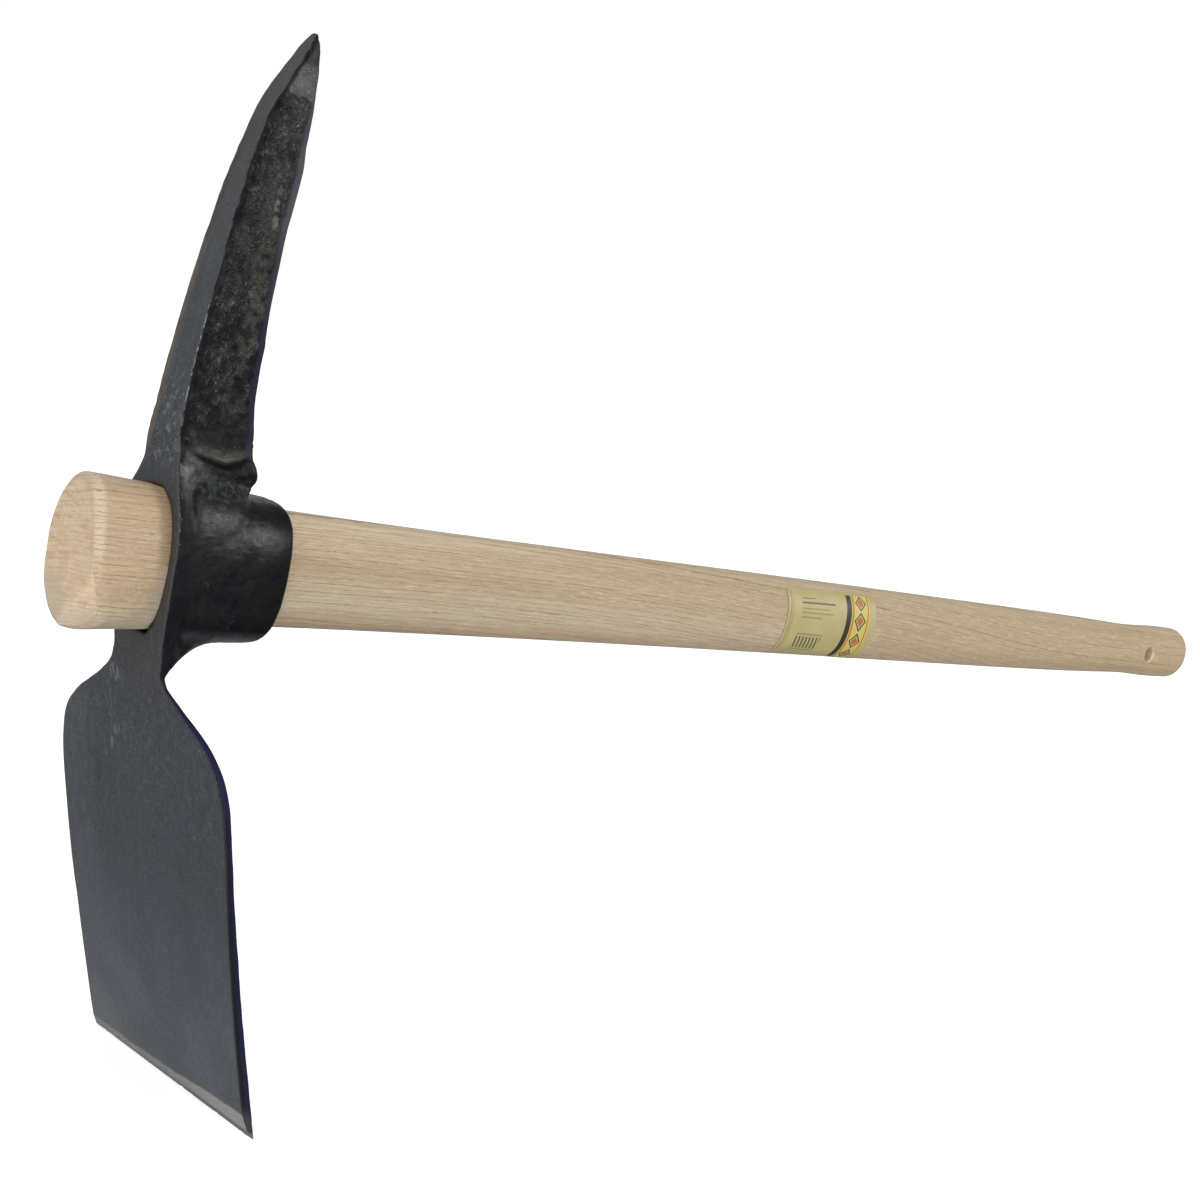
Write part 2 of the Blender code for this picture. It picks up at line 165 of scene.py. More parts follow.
ZD = np.arange(-267.0, 249.0, 0.1)
XF = spline(FRONT_FACE, ZD, 1)
WF = spline(FRONT_FACE, ZD, 2)
DS = spline(HEAD_DEPTH, ZD, 1) + np.interp(ZD, *zip(*REAR_SIDE))
DM = spline(HEAD_DEPTH, ZD, 2) + np.interp(ZD, *zip(*REAR_SIDE))
WR = np.where((ZD > -52.0) & (ZD < 76.0), spline(ROOT_WIDTH, ZD, 1), WF)
XF_SLOPE = np.gradient(XF, ZD)
WF_SLOPE = np.gradient(WF, ZD)
DS_SLOPE = np.gradient(DS, ZD)

XD = np.arange(-2.0, HANDLE_LENGTH + 2.0, 0.25)
HH = np.where(XD < 102.0, spline(LENS_STATIONS, XD, 1), spline(HANDLE_STATIONS, XD, 1))
HW = np.where(XD < 102.0, spline(LENS_STATIONS, XD, 2), spline(HANDLE_STATIONS, XD, 2))
HN = np.where(XD < 102.0, spline(LENS_STATIONS, XD, 3), spline(HANDLE_STATIONS, XD, 3))
HF = np.where(XD < 102.0, spline(LENS_STATIONS, XD, 4), 60.0)


def smooth(a, b, t):
    """0 below a, 1 above b, smooth between; a may be above b."""
    u = np.clip((np.asarray(t, float) - a) / (b - a), 0.0, 1.0)
    return u * u * (3.0 - 2.0 * u)


def smax(a, b, k):
    h = np.maximum(k - np.abs(a - b), 0.0)
    return np.maximum(a, b) + h * h / (4.0 * k)


def smin(a, b, k):
    h = np.maximum(k - np.abs(a - b), 0.0)
    return np.minimum(a, b) - h * h / (4.0 * k)


# -------------------------------------------------------------------- noise
_rng = np.random.RandomState(11)
_PERM = np.concatenate([_rng.permutation(256)] * 2)
_GRAD = _rng.normal(size=(256, 3))
_GRAD /= np.linalg.norm(_GRAD, axis=1)[:, None]


def noise(p, seed=0):
    """Gradient noise, about -0.7 to 0.7, at the rows of p."""
    p = np.asarray(p, float) + np.array([seed * 17.31, seed * 5.77, seed * 9.13])
    i = np.floor(p).astype(int)
    f = p - i
    u = f * f * f * (f * (f * 6 - 15) + 10)
    out = 0.0
    for dx in (0, 1):
        wx = u[:, 0] if dx else 1 - u[:, 0]
        hx = _PERM[(i[:, 0] + dx) & 255]
        for dy in (0, 1):
            wy = u[:, 1] if dy else 1 - u[:, 1]
            hy = _PERM[(hx + i[:, 1] + dy) & 255]
            for dz in (0, 1):
                wz = u[:, 2] if dz else 1 - u[:, 2]
                g = _GRAD[_PERM[(hy + i[:, 2] + dz) & 255]]
                d = (g[:, 0] * (f[:, 0] - dx) + g[:, 1] * (f[:, 1] - dy)
                     + g[:, 2] * (f[:, 2] - dz))
                out = out + wx * wy * wz * d
    return out


def fractal(p, seed=0, octaves=3, gain=0.5):
    total, size, scale = 0.0, 1.0, 1.0
    for k in range(octaves):
        total = total + size * noise(p * scale, seed + 3 * k)
        size *= gain
        scale *= 2.03
    return total


def noise1(t, seed):
    t = np.asarray(t, float)
    flat = t.reshape(-1)
    p = np.stack([flat, np.full_like(flat, 0.37), np.full_like(flat, 0.71)], 1)
    return noise(p, seed).reshape(t.shape)


# the arris of the pick wanders a little and has a few steps where the scale broke off
WANDER = {}
for _side, _seed in ((-1, 40), (1, 43)):
    _w = 0.35 * noise1(ZD / 21.0, _seed) + (0.40 if _side < 0 else 0.18) * noise1(ZD / 7.0, _seed + 1)
    for _z, _size in ((60.5, -1.5), (160.0, -0.9), (184.5, -0.9), (209.0, -0.5)):
        _size = _size if _side < 0 else 0.25 * _size
        _at = _z if _side < 0 else _z + 9.0
        _w = _w + _size * np.exp(-((ZD - _at) / 2.4) ** 2)
        _w = _w - 0.35 * _size * np.tanh((ZD - _at) / 1.2) * np.exp(-((ZD - _at) / 9.0) ** 2)
    WANDER[_side] = _w * smooth(48.0, 62.0, ZD) * (1 - smooth(222.0, 236.0, ZD)) \
        + np.interp(ZD, *zip(*(NEAR_SIDE if _side < 0 else FAR_SIDE)))


# --------------------------------------------------------------- head, form
def oval_distance(y, z, w, h, n):
    a, b = np.abs(y) / w, np.abs(z) / h
    total = a ** n + b ** n + 1e-9
    g = total ** (1.0 / n)
    c = total ** (1.0 / n - 1.0)
    gy = c * a ** (n - 1.0) / w
    gz = c * b ** (n - 1.0) / h
    return (g - 1.0) / np.sqrt(gy * gy + gz * gz + 1e-7)


def bevel_height(y):
    """The ground strip is taller towards the near corner of the edge."""
    return np.interp(y, [-70.0, -56.0, -40.0, -25.0, -10.0, 5.0, 20.0, 38.0, 58.0, 70.0],
                     [12.0, 11.5, 10.5, 9.3, 7.8, 6.7, 6.0, 5.5, 5.2, 5.0]) \
        + 0.16 * np.sin(y * 0.13) + 0.12 * np.sin(y * 0.31 + 1.0)


def side_cut_width(y, z):
    """How far the blade's side arris is knocked back, most at the near lower corner."""
    return np.where(y < 0, 1.35 - 0.35 * smooth(-86.0, -106.0, z) + 2.1 * smooth(-105.0, -235.0, z), 0.2)


def bore_distance(x, y, z, slack):
    """Below zero inside the eye's bore, which follows the wood."""
    h = np.interp(x, XD, HH) + slack
    w = np.interp(x, XD, HW) + slack
    inside = oval_distance(y, z, w, h, np.interp(x, XD, HN))
    return smax(inside, np.abs(z) - np.interp(x, XD, HF) - slack, 0.7)


def head_field(x, y, z):
    """Below zero inside the steel. x, y and z broadcast together."""
    xf = np.interp(z, ZD, XF)
    w = np.interp(z, ZD, WF)
    side = np.interp(z, ZD, DS)
    mid = np.interp(z, ZD, DM)
    wr = np.interp(z, ZD, WR)
    cf = 1.0 / np.sqrt(1.0 + np.interp(z, ZD, XF_SLOPE) ** 2)
    cw = 1.0 / np.sqrt(1.0 + np.interp(z, ZD, WF_SLOPE) ** 2)
    cd = 1.0 / np.sqrt(1.0 + (np.interp(z, ZD, XF_SLOPE) + np.interp(z, ZD, DS_SLOPE)) ** 2)
    s = x - xf
    ay = np.abs(y)

    pick = smooth(48.0, 60.0, z)
    w = w + np.where(y < 0, np.interp(z, ZD, WANDER[-1]), np.interp(z, ZD, WANDER[1])) \
        * np.exp(-np.clip(s, 0, None) / 7.0)
    w = w - 1.5 * (y > 0) * np.exp(-((z + 38.0) / 7.0) ** 2)
    behind = smooth(5.0, 13.0, s)
    half = w + (wr - np.interp(z, ZD, WF)) * behind
    narrow = 1.0 - 0.07 * smooth(36.0, 58.0, z) * np.clip(s / np.maximum(side, 1.0), 0.0, 1.0)
    half = half * narrow

    # ground strip: both faces slope to the cutting edge
    tall = bevel_height(y)
    t = np.clip((EDGE_Z + tall - z) / tall, 0.0, 1.0)
    front = ((1.3 - 0.5 * y / 70.0) * t - s) * cf
    u = np.clip(ay / w, 0.0, 1.0)
    depth = side + (mid - side) * (1.0 - u * u) + 0.35 * pick - 1.5 * smooth(206.0, 226.0, z) * smooth(246.0, 236.0, z)
    rear = (s - (depth - 1.05 * t)) * cd
    flank = (ay - half) * cw
    fine = smooth(200.0, 238.0, z)
    front_round = 0.35 + 1.1 * smooth(-70.0, -30.0, z) * (1 - 0.8 * fine) * (1 - 0.62 * smooth(46.0, 64.0, z))
    body = smax(front, flank, front_round)
    rear_round = 0.4 + 3.0 * smooth(-50.0, -38.0, z) * (1 - 0.85 * fine)
    body = smax(body, rear, rear_round)
    # the blade's side arris was knocked off, more so towards the cutting edge
    cut = side_cut_width(y, z)
    deep = 0.62 * cut
    bevel = ((ay - (w - cut)) * deep - s * cut) / np.hypot(cut, deep) - 30.0 * smooth(-66.0, -60.0, z)
    body = np.maximum(body, bevel)
    # the flash was trimmed off the pick's rear corners
    trim = ((s - (depth - 4.6)) * 2.2 + (ay - half) * 4.6) / 5.1 - 40.0 * (1 - pick) \
        - 8.0 * smooth(196.0, 218.0, z)
    body = smax(body, trim, 2.4)
    body = smax(body, z - POINT_Z, 0.7)
    body = np.maximum(body, EDGE_Z - z)

    if np.ndim(z) == 0 and (z < -52.0 or z > 52.0):
        return body

    # the collar
    zc = z + COLLAR_DROP
    x0 = np.interp(zc, ZD, XF) + 3.0
    t = np.clip((x - x0) / (COLLAR_REAR_X - x0), 0.0, 1.0)
    hw = COLLAR_FRONT_HALF_WIDTH + (COLLAR_REAR_HALF_WIDTH - COLLAR_FRONT_HALF_WIDTH) \
        * np.minimum(t * 1.6, 1.0)
    hh = COLLAR_MID_HALF_HEIGHT + (COLLAR_REAR_HALF_HEIGHT - COLLAR_MID_HALF_HEIGHT) * t ** 1.5
    collar = oval_distance(y, zc, hw, hh, 2.45 + 0.25 * t)
    collar = smax(collar, x - COLLAR_REAR_X, 5.4 - 2.6 * smooth(14.0, 30.0, z))
    collar = smax(collar, x0 - x, 0.6)
    blend = 0.3 + 4.0 * smooth(2.5, 12.0, s) * smooth(-46.0, -34.0, z) \
        + 7.0 * smooth(3.0, 10.0, s) * smooth(42.0, 30.0, s) * smooth(8.0, 30.0, z)
    steel = smin(body, collar, blend)

    # the bore, dished at its mouth, with a little slack under the wood in front
    low = smooth(-29.0, -33.5, z)
    slack = BORE_CLEARANCE + 1.35 * low * np.exp(-(np.clip(s, -1, None) / 6.0) ** 2)
    bore = bore_distance(x, y, z, slack)
    steel = smax(steel, -bore, 0.5)
    lip = LIP_WIDTH - 1.9 * smooth(26.0, 32.0, z) - 1.7 * smooth(-25.0, -31.0, z)
    dish = (bore - lip + s * LIP_WIDTH / LIP_DEPTH) / math.hypot(1.0, LIP_WIDTH / LIP_DEPTH)
    dish = np.where(z > 60.0, 9.0, dish)
    steel = smax(steel, -dish, 0.5)
    rear_lip = (bore - 1.6 + (COLLAR_REAR_X - x)) / 1.41
    return smax(steel, -rear_lip, 0.6)


# --------------------------------------------------- surface from the field
def axis_steps(stops):
    """Grid lines from [(start, step), ..., (end, None)]."""
    out = []
    for (a, step), (b, _) in zip(stops, stops[1:]):
        count = max(1, int(round((b - a) / step)))
        out.append(np.linspace(a, b, count, endpoint=False))
    out.append(np.array([stops[-1][0]]))
    return np.concatenate(out)


def contour():
    """A closed quad mesh on the head's field, with its corners kept."""
    gs = axis_steps([(-1.31, 0.62), (6.1, 0.98), (70.2, None)])
    gy = axis_steps([(-72.3, 0.75), (-66.3, 1.7), (-30.1, 0.93), (30.1, 1.7), (66.3, 0.75), (72.3, None)])
    gz = axis_steps([(-266.2, 0.8), (-250.0, 2.0), (-112.0, 1.4), (-62.0, 0.93), (247.6, None)])
    ns, ny, nz = len(gs), len(gy), len(gz)
    xf_z = np.interp(gz, ZD, XF)
    value = np.empty((ns, ny, nz), np.float32)
    for k in range(nz):
        value[:, :, k] = head_field(gs[:, None] + xf_z[k], gy[None, :], gz[k])
    inside = value < 0

    def place(i, j, k):
        return np.stack([gs[i] + xf_z[k], gy[j], gz[k]], 1)

    points, normals, cells, edges = [], [], [], []
    for axis in range(3):
        a = [slice(None)] * 3
        b = [slice(None)] * 3
        a[axis], b[axis] = slice(0, -1), slice(1, None)
        hit = np.argwhere(inside[tuple(a)] != inside[tuple(b)])
        lo = hit.copy()
        hi = hit.copy()
        hi[:, axis] += 1
        p0, p1 = place(*lo.T), place(*hi.T)
        v0 = value[lo[:, 0], lo[:, 1], lo[:, 2]].astype(float)
        v1 = value[hi[:, 0], hi[:, 1], hi[:, 2]].astype(float)
        t0, t1 = np.zeros(len(hit)), np.ones(len(hit))
        f0, f1 = v0.copy(), v1.copy()
        for _ in range(4):
            t = t0 + (t1 - t0) * np.clip(f0 / (f0 - f1), 0.03, 0.97)
            q = p0 + (p1 - p0) * t[:, None]
            f = head_field(q[:, 0], q[:, 1], q[:, 2])
            same = (f < 0) == (f0 < 0)
            t0, f0 = np.where(same, t, t0), np.where(same, f, f0)
            t1, f1 = np.where(same, t1, t), np.where(same, f1, f)
        t = t0 + (t1 - t0) * f0 / (f0 - f1)
        q = p0 + (p1 - p0) * t[:, None]
        e = 0.06
        g = np.stack([
            head_field(q[:, 0] + e, q[:, 1], q[:, 2]) - head_field(q[:, 0] - e, q[:, 1], q[:, 2]),
            head_field(q[:, 0], q[:, 1] + e, q[:, 2]) - head_field(q[:, 0], q[:, 1] - e, q[:, 2]),
            head_field(q[:, 0], q[:, 1], q[:, 2] + e) - head_field(q[:, 0], q[:, 1], q[:, 2] - e)], 1)
        g /= np.linalg.norm(g, axis=1)[:, None] + 1e-12
        b1, b2 = (axis + 1) % 3, (axis + 2) % 3
        ring = []
        for d1, d2 in ((-1, -1), (0, -1), (0, 0), (-1, 0)):
            cell = hit.copy()
            cell[:, b1] += d1
            cell[:, b2] += d2
            ring.append((cell[:, 0] * ny + cell[:, 1]) * nz + cell[:, 2])
        ring = np.stack(ring, 1)
        ring = np.where((v0 < 0)[:, None], ring, ring[:, ::-1])
        points.append(q)
        normals.append(g)
        cells.append(ring)
    q = np.concatenate(points)
    g = np.concatenate(normals)
    ring = np.concatenate(cells)
    ids, index = np.unique(ring, return_inverse=True)
    index = index.reshape(ring.shape)
    count = len(ids)
    flat = index.reshape(-1)
    qq = np.repeat(q, 4, axis=0)
    gg = np.repeat(g, 4, axis=0)

    def gather(values):
        return np.bincount(flat, weights=values, minlength=count)

    number = gather(np.ones(len(flat)))
    mean = np.stack([gather(qq[:, c]) for c in range(3)], 1) / number[:, None]
    rel = qq - mean[flat]
    dist = (gg * rel).sum(1)
    ata = np.empty((count, 3, 3))
    atb = np.empty((count, 3))
    for r in range(3):
        atb[:, r] = gather(gg[:, r] * dist)
        for c in range(r, 3):
            ata[:, r, c] = ata[:, c, r] = gather(gg[:, r] * gg[:, c])
    ata += np.eye(3) * (0.06 * number)[:, None, None]
    move = np.linalg.solve(ata, atb[:, :, None])[:, :, 0]
    length = np.linalg.norm(move, axis=1)
    move *= np.minimum(1.0, 1.0 / np.maximum(length, 1e-9))[:, None]
    return mean + move, index


def vertex_normals(co, quads):
    a, b, c, d = (co[quads[:, k]] for k in range(4))
    face = np.cross(c - a, d - b)
    out = np.zeros_like(co)
    for k in range(4):
        for axis in range(3):
            out[:, axis] += np.bincount(quads[:, k], weights=face[:, axis], minlength=len(co))
    return out / (np.linalg.norm(out, axis=1)[:, None] + 1e-12)


def line_distance(x, z, path):
    """Distance to a polyline in the x-z plane, and the share of the way along."""
    best = np.full(len(x), 1e9)
    share = np.zeros(len(x))
    total = sum(math.dist(a, b) for a, b in zip(path, path[1:]))
    gone = 0.0
    for a, b in zip(path, path[1:]):
        length = math.dist(a, b)
        ux, uz = (b[0] - a[0]) / length, (b[1] - a[1]) / length
        t = np.clip((x - a[0]) * ux + (z - a[1]) * uz, 0.0, length)
        d = np.hypot(x - a[0] - t * ux, z - a[1] - t * uz)
        near = d < best
        best = np.where(near, d, best)
        share = np.where(near, (gone + t) / total, share)
        gone += length
    return best, share


def build_head():
    co, quads = contour()
    n = vertex_normals(co, quads)
    x, y, z = co.T
    xf = np.interp(z, ZD, XF)
    s = x - xf
    side = np.interp(z, ZD, DS) + 1.1 * smooth(48.0, 60.0, z)
    bore = bore_distance(x, y, z, BORE_CLEARANCE)
    off_bore = smooth(0.15, 1.6, bore)

    front = smooth(0.55, 0.85, -n[:, 0]) * smooth(1.6, 0.6, s) * smooth(0.6, 1.6, bore + 1.0 * (z > 50))
    front = np.where(z < -60, smooth(0.5, 0.8, -n[:, 0]), front)
    flank = smooth(0.45, 0.8, np.abs(n[:, 1]))
    pick = smooth(50.0, 57.0, z)
    depth = np.maximum(side, 1.0)
    strip_from = np.interp(z, [55.0, 120.0, 140.0, 160.0, 185.0, 205.0, 220.0], [-6.2, -5.7, -5.6, -6.4, -6.2, -5.2, -4.4]) \
        + 1.1 * noise(co / 4.5, 97)
    strip = pick * smooth(-0.7 - 1.2 * smooth(130.0, 150.0, z), 0.7 + 1.2 * smooth(130.0, 150.0, z), s - depth - strip_from) * smooth(0.2, 0.45, np.abs(n[:, 1]) + np.abs(n[:, 0]))
    strip = strip * (1 - smooth(214.0, 222.0, z))
    patch = smooth(0.0, 1.0, (z - 214.5 - 4.0 * np.exp(-(s / 3.0) ** 2)) / 2.6 + 0.8 * noise(co / 5.0, 70)) \
        * smooth(0.3, 0.7, np.abs(n[:, 1])) * smooth(1.0, 2.6, s + 0.8 * noise(co / 3.0, 72))
    tip = smooth(0.0, 1.0, (z - 230.4) / 2.4 + 0.5 * noise(co / 3.0, 71))

    # forging scale on the flanks of the pick
    rough = pick * flank * smooth(0.4, 3.0, s) * (1 - strip) * (1 - patch)
    lumps = fractal(co / 13.0, 1, 2)
    bumps = fractal(co / 5.2, 5, 3, 0.6)
    grit = fractal(co / 2.6, 9, 2, 0.6)
    pits = np.clip(-0.15 - noise(co / 4.4, 21), 0, None)
    scale = 1.05 * lumps + 1.20 * bumps + 0.50 * grit - 2.2 * pits
    move = rough * (scale - 0.1)
    relief = rough * scale

    # the collar and the eye's flanks are smoother, with hammer and tool marks
    eye = smooth(-56.0, -46.0, z) * (1 - smooth(46.0, 54.0, z)) * (1 - front) * off_bore
    soft = 0.30 * fractal(co / 15.0, 14, 2) + 0.16 * noise(co / 4.2, 15) + 0.08 * noise(co / 2.1, 16)
    drag = 0.10 * noise(co / np.array([6.0, 6.0, 1.6]), 17)
    top = smooth(26.0, 38.0, z)
    move = move + eye * (soft + drag + top * (0.35 * bumps + 0.2 * grit))
    relief = relief + eye * (1.2 * soft + 1.6 * drag + top * (0.5 * bumps + 0.3 * grit))

    # the root of the pick: a soft ridge that breaks off below into a groove, and a fold lower down
    sideways = smooth(0.5, 0.85, np.abs(n[:, 1])) * (1 - front) * off_bore
    drop = z - np.interp(x, [36.0, 42.4, 50.2, 57.5, 62.5, 70.1, 73.0, 80.0],
                         [54.0, 52.4, 50.7, 49.7, 49.2, 51.2, 53.4, 55.0]) \
        - 0.5 * noise(co / np.array([4.5, 9.0, 30.0]), 22)
    start = smooth(40.5, 48.0, x)
    off_rear = smooth(-3.0, -9.0, s - side)
    swell = np.exp(-np.clip(drop, 0, None) / 4.4) * smooth(-3.4, 1.2, drop)
    swell = swell * smooth(11.0, 6.0, drop) * start * off_rear
    groove = np.exp(-((drop + np.interp(x, [42.0, 52.0, 61.0, 70.0], [0.9, 1.9, 3.3, 5.0]))
                      / np.interp(x, [42.0, 52.0, 61.0, 70.0], [0.9, 1.4, 2.2, 3.2])) ** 2) * smooth(41.5, 50.0, x) * off_rear
    dist3, share3 = line_distance(x, z, [(63.0, 40.6), (56.1, 40.1), (50.3, 38.6), (47.4, 36.3),
                                         (44.7, 33.1), (44.0, 28.6), (44.7, 24.1), (46.5, 19.0)])
    run3 = smooth(0.24, 0.50, share3) * (1 - smooth(0.7, 1.0, share3))
    fold = np.exp(-(dist3 / 1.15) ** 2) * run3
    shore_in = np.exp(-(dist3 / 3.2) ** 2) * run3 * (1 - smooth(45.0, 52.0, x))
    move = move + sideways * (1.08 * swell - 0.75 * groove - 0.6 * fold + 0.35 * shore_in)
    relief = relief + sideways * (0.30 * swell - 0.8 * groove - 0.9 * fold)
    # painted light: a grey tone on the upward-facing slope between the groove and the fold
    above_slope = np.interp(x, [40.0, 44.0, 48.0, 52.0, 56.0, 60.0], [53.0, 51.2, 49.4, 47.2, 45.0, 42.6])
    below_slope = np.interp(x, [40.0, 43.4, 45.6, 50.0, 56.0, 63.0], [18.0, 24.0, 34.8, 38.9, 40.4, 41.2])
    slope = smooth(38.4, 40.6, x) * smooth(0.8, -1.2, z - above_slope + 1.2 * noise(co / 3.0, 23)) \
        * smooth(-0.4, 1.6, z - below_slope) * np.interp(z, [22.0, 32.0, 40.0, 45.0], [0.0, 0.45, 0.85, 1.0])
    # painted highlight: a lit line on the lip left of the fold
    lip_highlight = np.exp(-((x - np.interp(z, [19.0, 24.0, 28.6, 33.1, 36.3], [44.9, 43.1, 42.4, 43.1, 45.8])) / 0.9) ** 2) \
        * smooth(15.0, 21.0, z) * smooth(39.0, 35.0, z)
    slope = np.maximum(slope, 0.42 * lip_highlight)
    # painted shade: a dark band above the ridge at the root of the pick
    dark_band = sideways * np.exp(-((drop - 10.8) / 4.0) ** 2) * off_rear
    # olive-brown tone on the ridge, partly its scale and partly painted light where it faces up
    ridge_light_tone = sideways * np.clip(1.25 * np.exp(-((drop - 2.4) / 2.6) ** 2) * start, 0, 1)
    # painted shade, near black: under the ridge, in the groove, along the fold's crease and in the band above the ridge
    under_ridge = np.exp(-((drop + np.interp(x, [42.0, 52.0, 61.0, 70.0], [1.6, 3.4, 5.0, 6.0]))
                           / np.interp(x, [42.0, 52.0, 61.0, 70.0], [1.3, 2.5, 3.8, 4.6])) ** 2) \
        * smooth(43.0, 50.0, x) * off_rear * smooth(-14.0, -10.0, drop)
    crease = np.exp(-(dist3 / 1.0) ** 2) * smooth(0.04, 0.20, share3) * (1 - smooth(0.7, 1.0, share3))
    groove_shade_tone = sideways * np.clip(0.9 * under_ridge + 0.85 * crease + 1.0 * groove + 0.8 * fold + 0.85 * np.exp(-((drop - 11.0) / 3.8) ** 2)
                                    + 0.7 * smooth(60.0, 68.0, x) * smooth(1.0, -1.0, drop) * smooth(38.0, 42.0, z),
                                    0, 1)
    groove_shade_tone = groove_shade_tone * np.clip(0.85 + 0.6 * noise(co / 2.4, 24), 0, 1)

    # blade and front face: long shallow forging waves, a few small dents
    blade = 1 - smooth(-66.0, -50.0, z)
    waves = 0.16 * noise(co / np.array([60.0, 16.0, 46.0]), 30) + 0.05 * noise(co / np.array([20.0, 3.6, 15.0]), 31)
    dents = np.clip(noise(co / 9.0, 33) - 0.42, 0, None)
    away = smooth(EDGE_Z + 14.0, EDGE_Z + 26.0, z)
    move = move + blade * away * (waves * 1.2 - 0.5 * dents)
    front_pick = front * smooth(40.0, 60.0, z)
    move = move + front_pick * (0.14 * noise(co / 8.0, 34) + 0.10 * noise(co / 3.2, 35))
    back_blade = blade * smooth(0.5, 0.8, n[:, 0]) * away
    move = move + back_blade * (0.22 * fractal(co / 9.0, 36, 2))
    relief = relief + back_blade * fractal(co / 9.0, 36, 2) * 0.6
    # nicks along the cutting edge
    edge = smooth(EDGE_Z + 2.2, EDGE_Z + 0.4, z)
    co = co + n * move[:, None]
    nick = np.clip(noise1(y / 3.3, 50) - 0.12, 0, None) * 1.5 + 0.25 * noise1(y / 17.0, 51)
    co[:, 2] += edge * np.clip(nick, 0, 0.6)

    # where the colours go
    arris = np.interp(z, ZD, WF) + np.where(y < 0, np.interp(z, ZD, WANDER[-1]), np.interp(z, ZD, WANDER[1]))
    border = np.exp(-((arris - np.abs(y)) / np.where(y > 0, 1.9, 3.2)) ** 2) \
        * np.where(y > 0, 1.0 + 0.5 * smooth(60.0, 90.0, z), 1 - 0.8 * smooth(38.0, 60.0, z))
    rim = np.exp(-(np.clip(bore - 0.4, 0, None) / 2.2) ** 2) * (np.abs(z) < 44) * (s < 8)
    brown = np.clip(front * ((0.15 + 0.55 * smooth(-40.0, 30.0, z)) * border + 0.45 * smooth(140, 215, z)
                             + 0.30 * smooth(-62.0, -46.0, z) * (1 - smooth(-20, 10, z))), 0, 1)
    across = np.abs(y) - arris
    side_cut = across + side_cut_width(y, z) + (0.9 * smooth(-58.0, -64.0, z) + 0.8 * smooth(-86.0, -76.0, z) * smooth(-58.0, -62.0, z)) * smooth(-100.0, -88.0, z)
    beside = smooth(-1.1, 0.5, side_cut) * smooth(-58.0, -66.0, z) * (y < 0)
    front = front * (1 - beside * np.interp(z, [-150.0, -110.0, -96.0, -84.0], [1.0, 0.8, 0.9, 1.0]))
    above = np.maximum(z - (EDGE_Z + bevel_height(y)), 1.6 * side_cut)
    lip_edge = (z - (EDGE_Z + np.interp(y, [-70.0, -20.0, 20.0, 50.0], [3.4, 2.9, 2.0, 0.8])
                     + 0.3 * noise1(y / 6.0, 52))) + 20.0 * (1 - blade)
    rough = rough * (1 - 0.7 * dark_band)
    mask_a = np.stack([front, rough, np.clip(relief * 0.5 + 0.5, 0, 1)], 1)
    mask_b = np.stack([rim, strip, np.clip(patch * (1 - tip), 0, 1)], 1)
    mask_c = np.stack([brown, lip_edge, eye], 1)
    mask_d = np.stack([across, s, above], 1)
    # sooty places without shine: the eye's flank beside the arris, the blade's sides, the blunt point
    soot = (1 - front) * smooth(16.0, 3.0, s) * smooth(-60.0, -50.0, z) * (1 - smooth(26.0, 42.0, z))
    soot = soot * np.clip(0.86 + 0.5 * fractal(co / 9.0, 93, 2), 0, 1)
    soot = np.maximum(soot, blade * (1 - front) * smooth(0.75, 0.45, n[:, 0]) * np.maximum(smooth(0.2, 0.5, s), beside))
    soot = np.maximum(soot, 0.5 * tip * (1 - front))
    low_pick = pick * (1 - front) * (1 - patch)
    soot = np.maximum(soot, low_pick * 0.88 * smooth(8.5, 2.5, s + 3.0 * noise(co / 5.0, 94)))
    soot = np.maximum(soot, low_pick * (0.42 * smooth(150.0, 90.0, z) + 0.25 * smooth(178.0, 150.0, z)) * (1 - 0.7 * smooth(0.50, 0.75, relief * 0.5 + 0.5)))
    # the shelf where the flank of the root turns into the top of the collar
    ledge = z - np.interp(x, [45.0, 56.0, 63.0, 75.0], [37.2, 39.9, 40.2, 38.6])
    shelf = smooth(2.6, 0.6, ledge) * smooth(-8.5, -4.5, ledge + 1.2 * noise(co / 4.0, 95)) \
        * smooth(44.5, 49.0, x) * smooth(84.0, 74.0, x) * (1 - front) * off_bore * (z < 47.0)
    soot = np.maximum(soot, 0.72 * shelf)
    far_edge = smooth(5.6, 2.6, arris - y + 1.0 * noise(co / 6.0, 96)) * (y > 0) * smooth(2.2, 0.5, s) \
        * smooth(38.0, 47.0, z) * smooth(240.0, 230.0, z)
    # painted light on the eye's underside, as if it caught light from below
    underside_light = smooth(0.15, 0.62, -n[:, 2]) * smooth(-26.0, -34.0, z) * smooth(-64.0, -54.0, z) * (1 - front) * off_bore \
        * smooth(2.5, 6.5, s)
    soot = soot * (1 - 0.85 * underside_light)
    soot = np.maximum(soot, 0.75 * groove_shade_tone)
    soot = np.maximum(soot, 0.6 * strip)
    mask_e = np.stack([soot, ridge_light_tone, np.clip(sideways * slope, 0, 1)], 1)
    mask_f = np.stack([groove_shade_tone, np.clip(s / np.maximum(side, 1.0), 0, 1), np.clip(-bore, -5.0, 5.0)], 1)
    mask_g = np.stack([shelf, far_edge, tip * (1 - front)], 1)
    mask_h = np.stack([underside_light, dark_band * (1 - np.clip(1.4 * ridge_light_tone, 0, 1)), blade * smooth(0.60, 0.90, n[:, 0])
                       + 0.9 * pick * smooth(0.74, 0.95, n[:, 0] + 0.08 * noise(co / 6.0, 98))], 1)
    return co, quads, {"mask_a": mask_a, "mask_b": mask_b, "mask_c": mask_c, "mask_d": mask_d,
                       "mask_e": mask_e, "mask_f": mask_f, "mask_g": mask_g, "mask_h": mask_h}


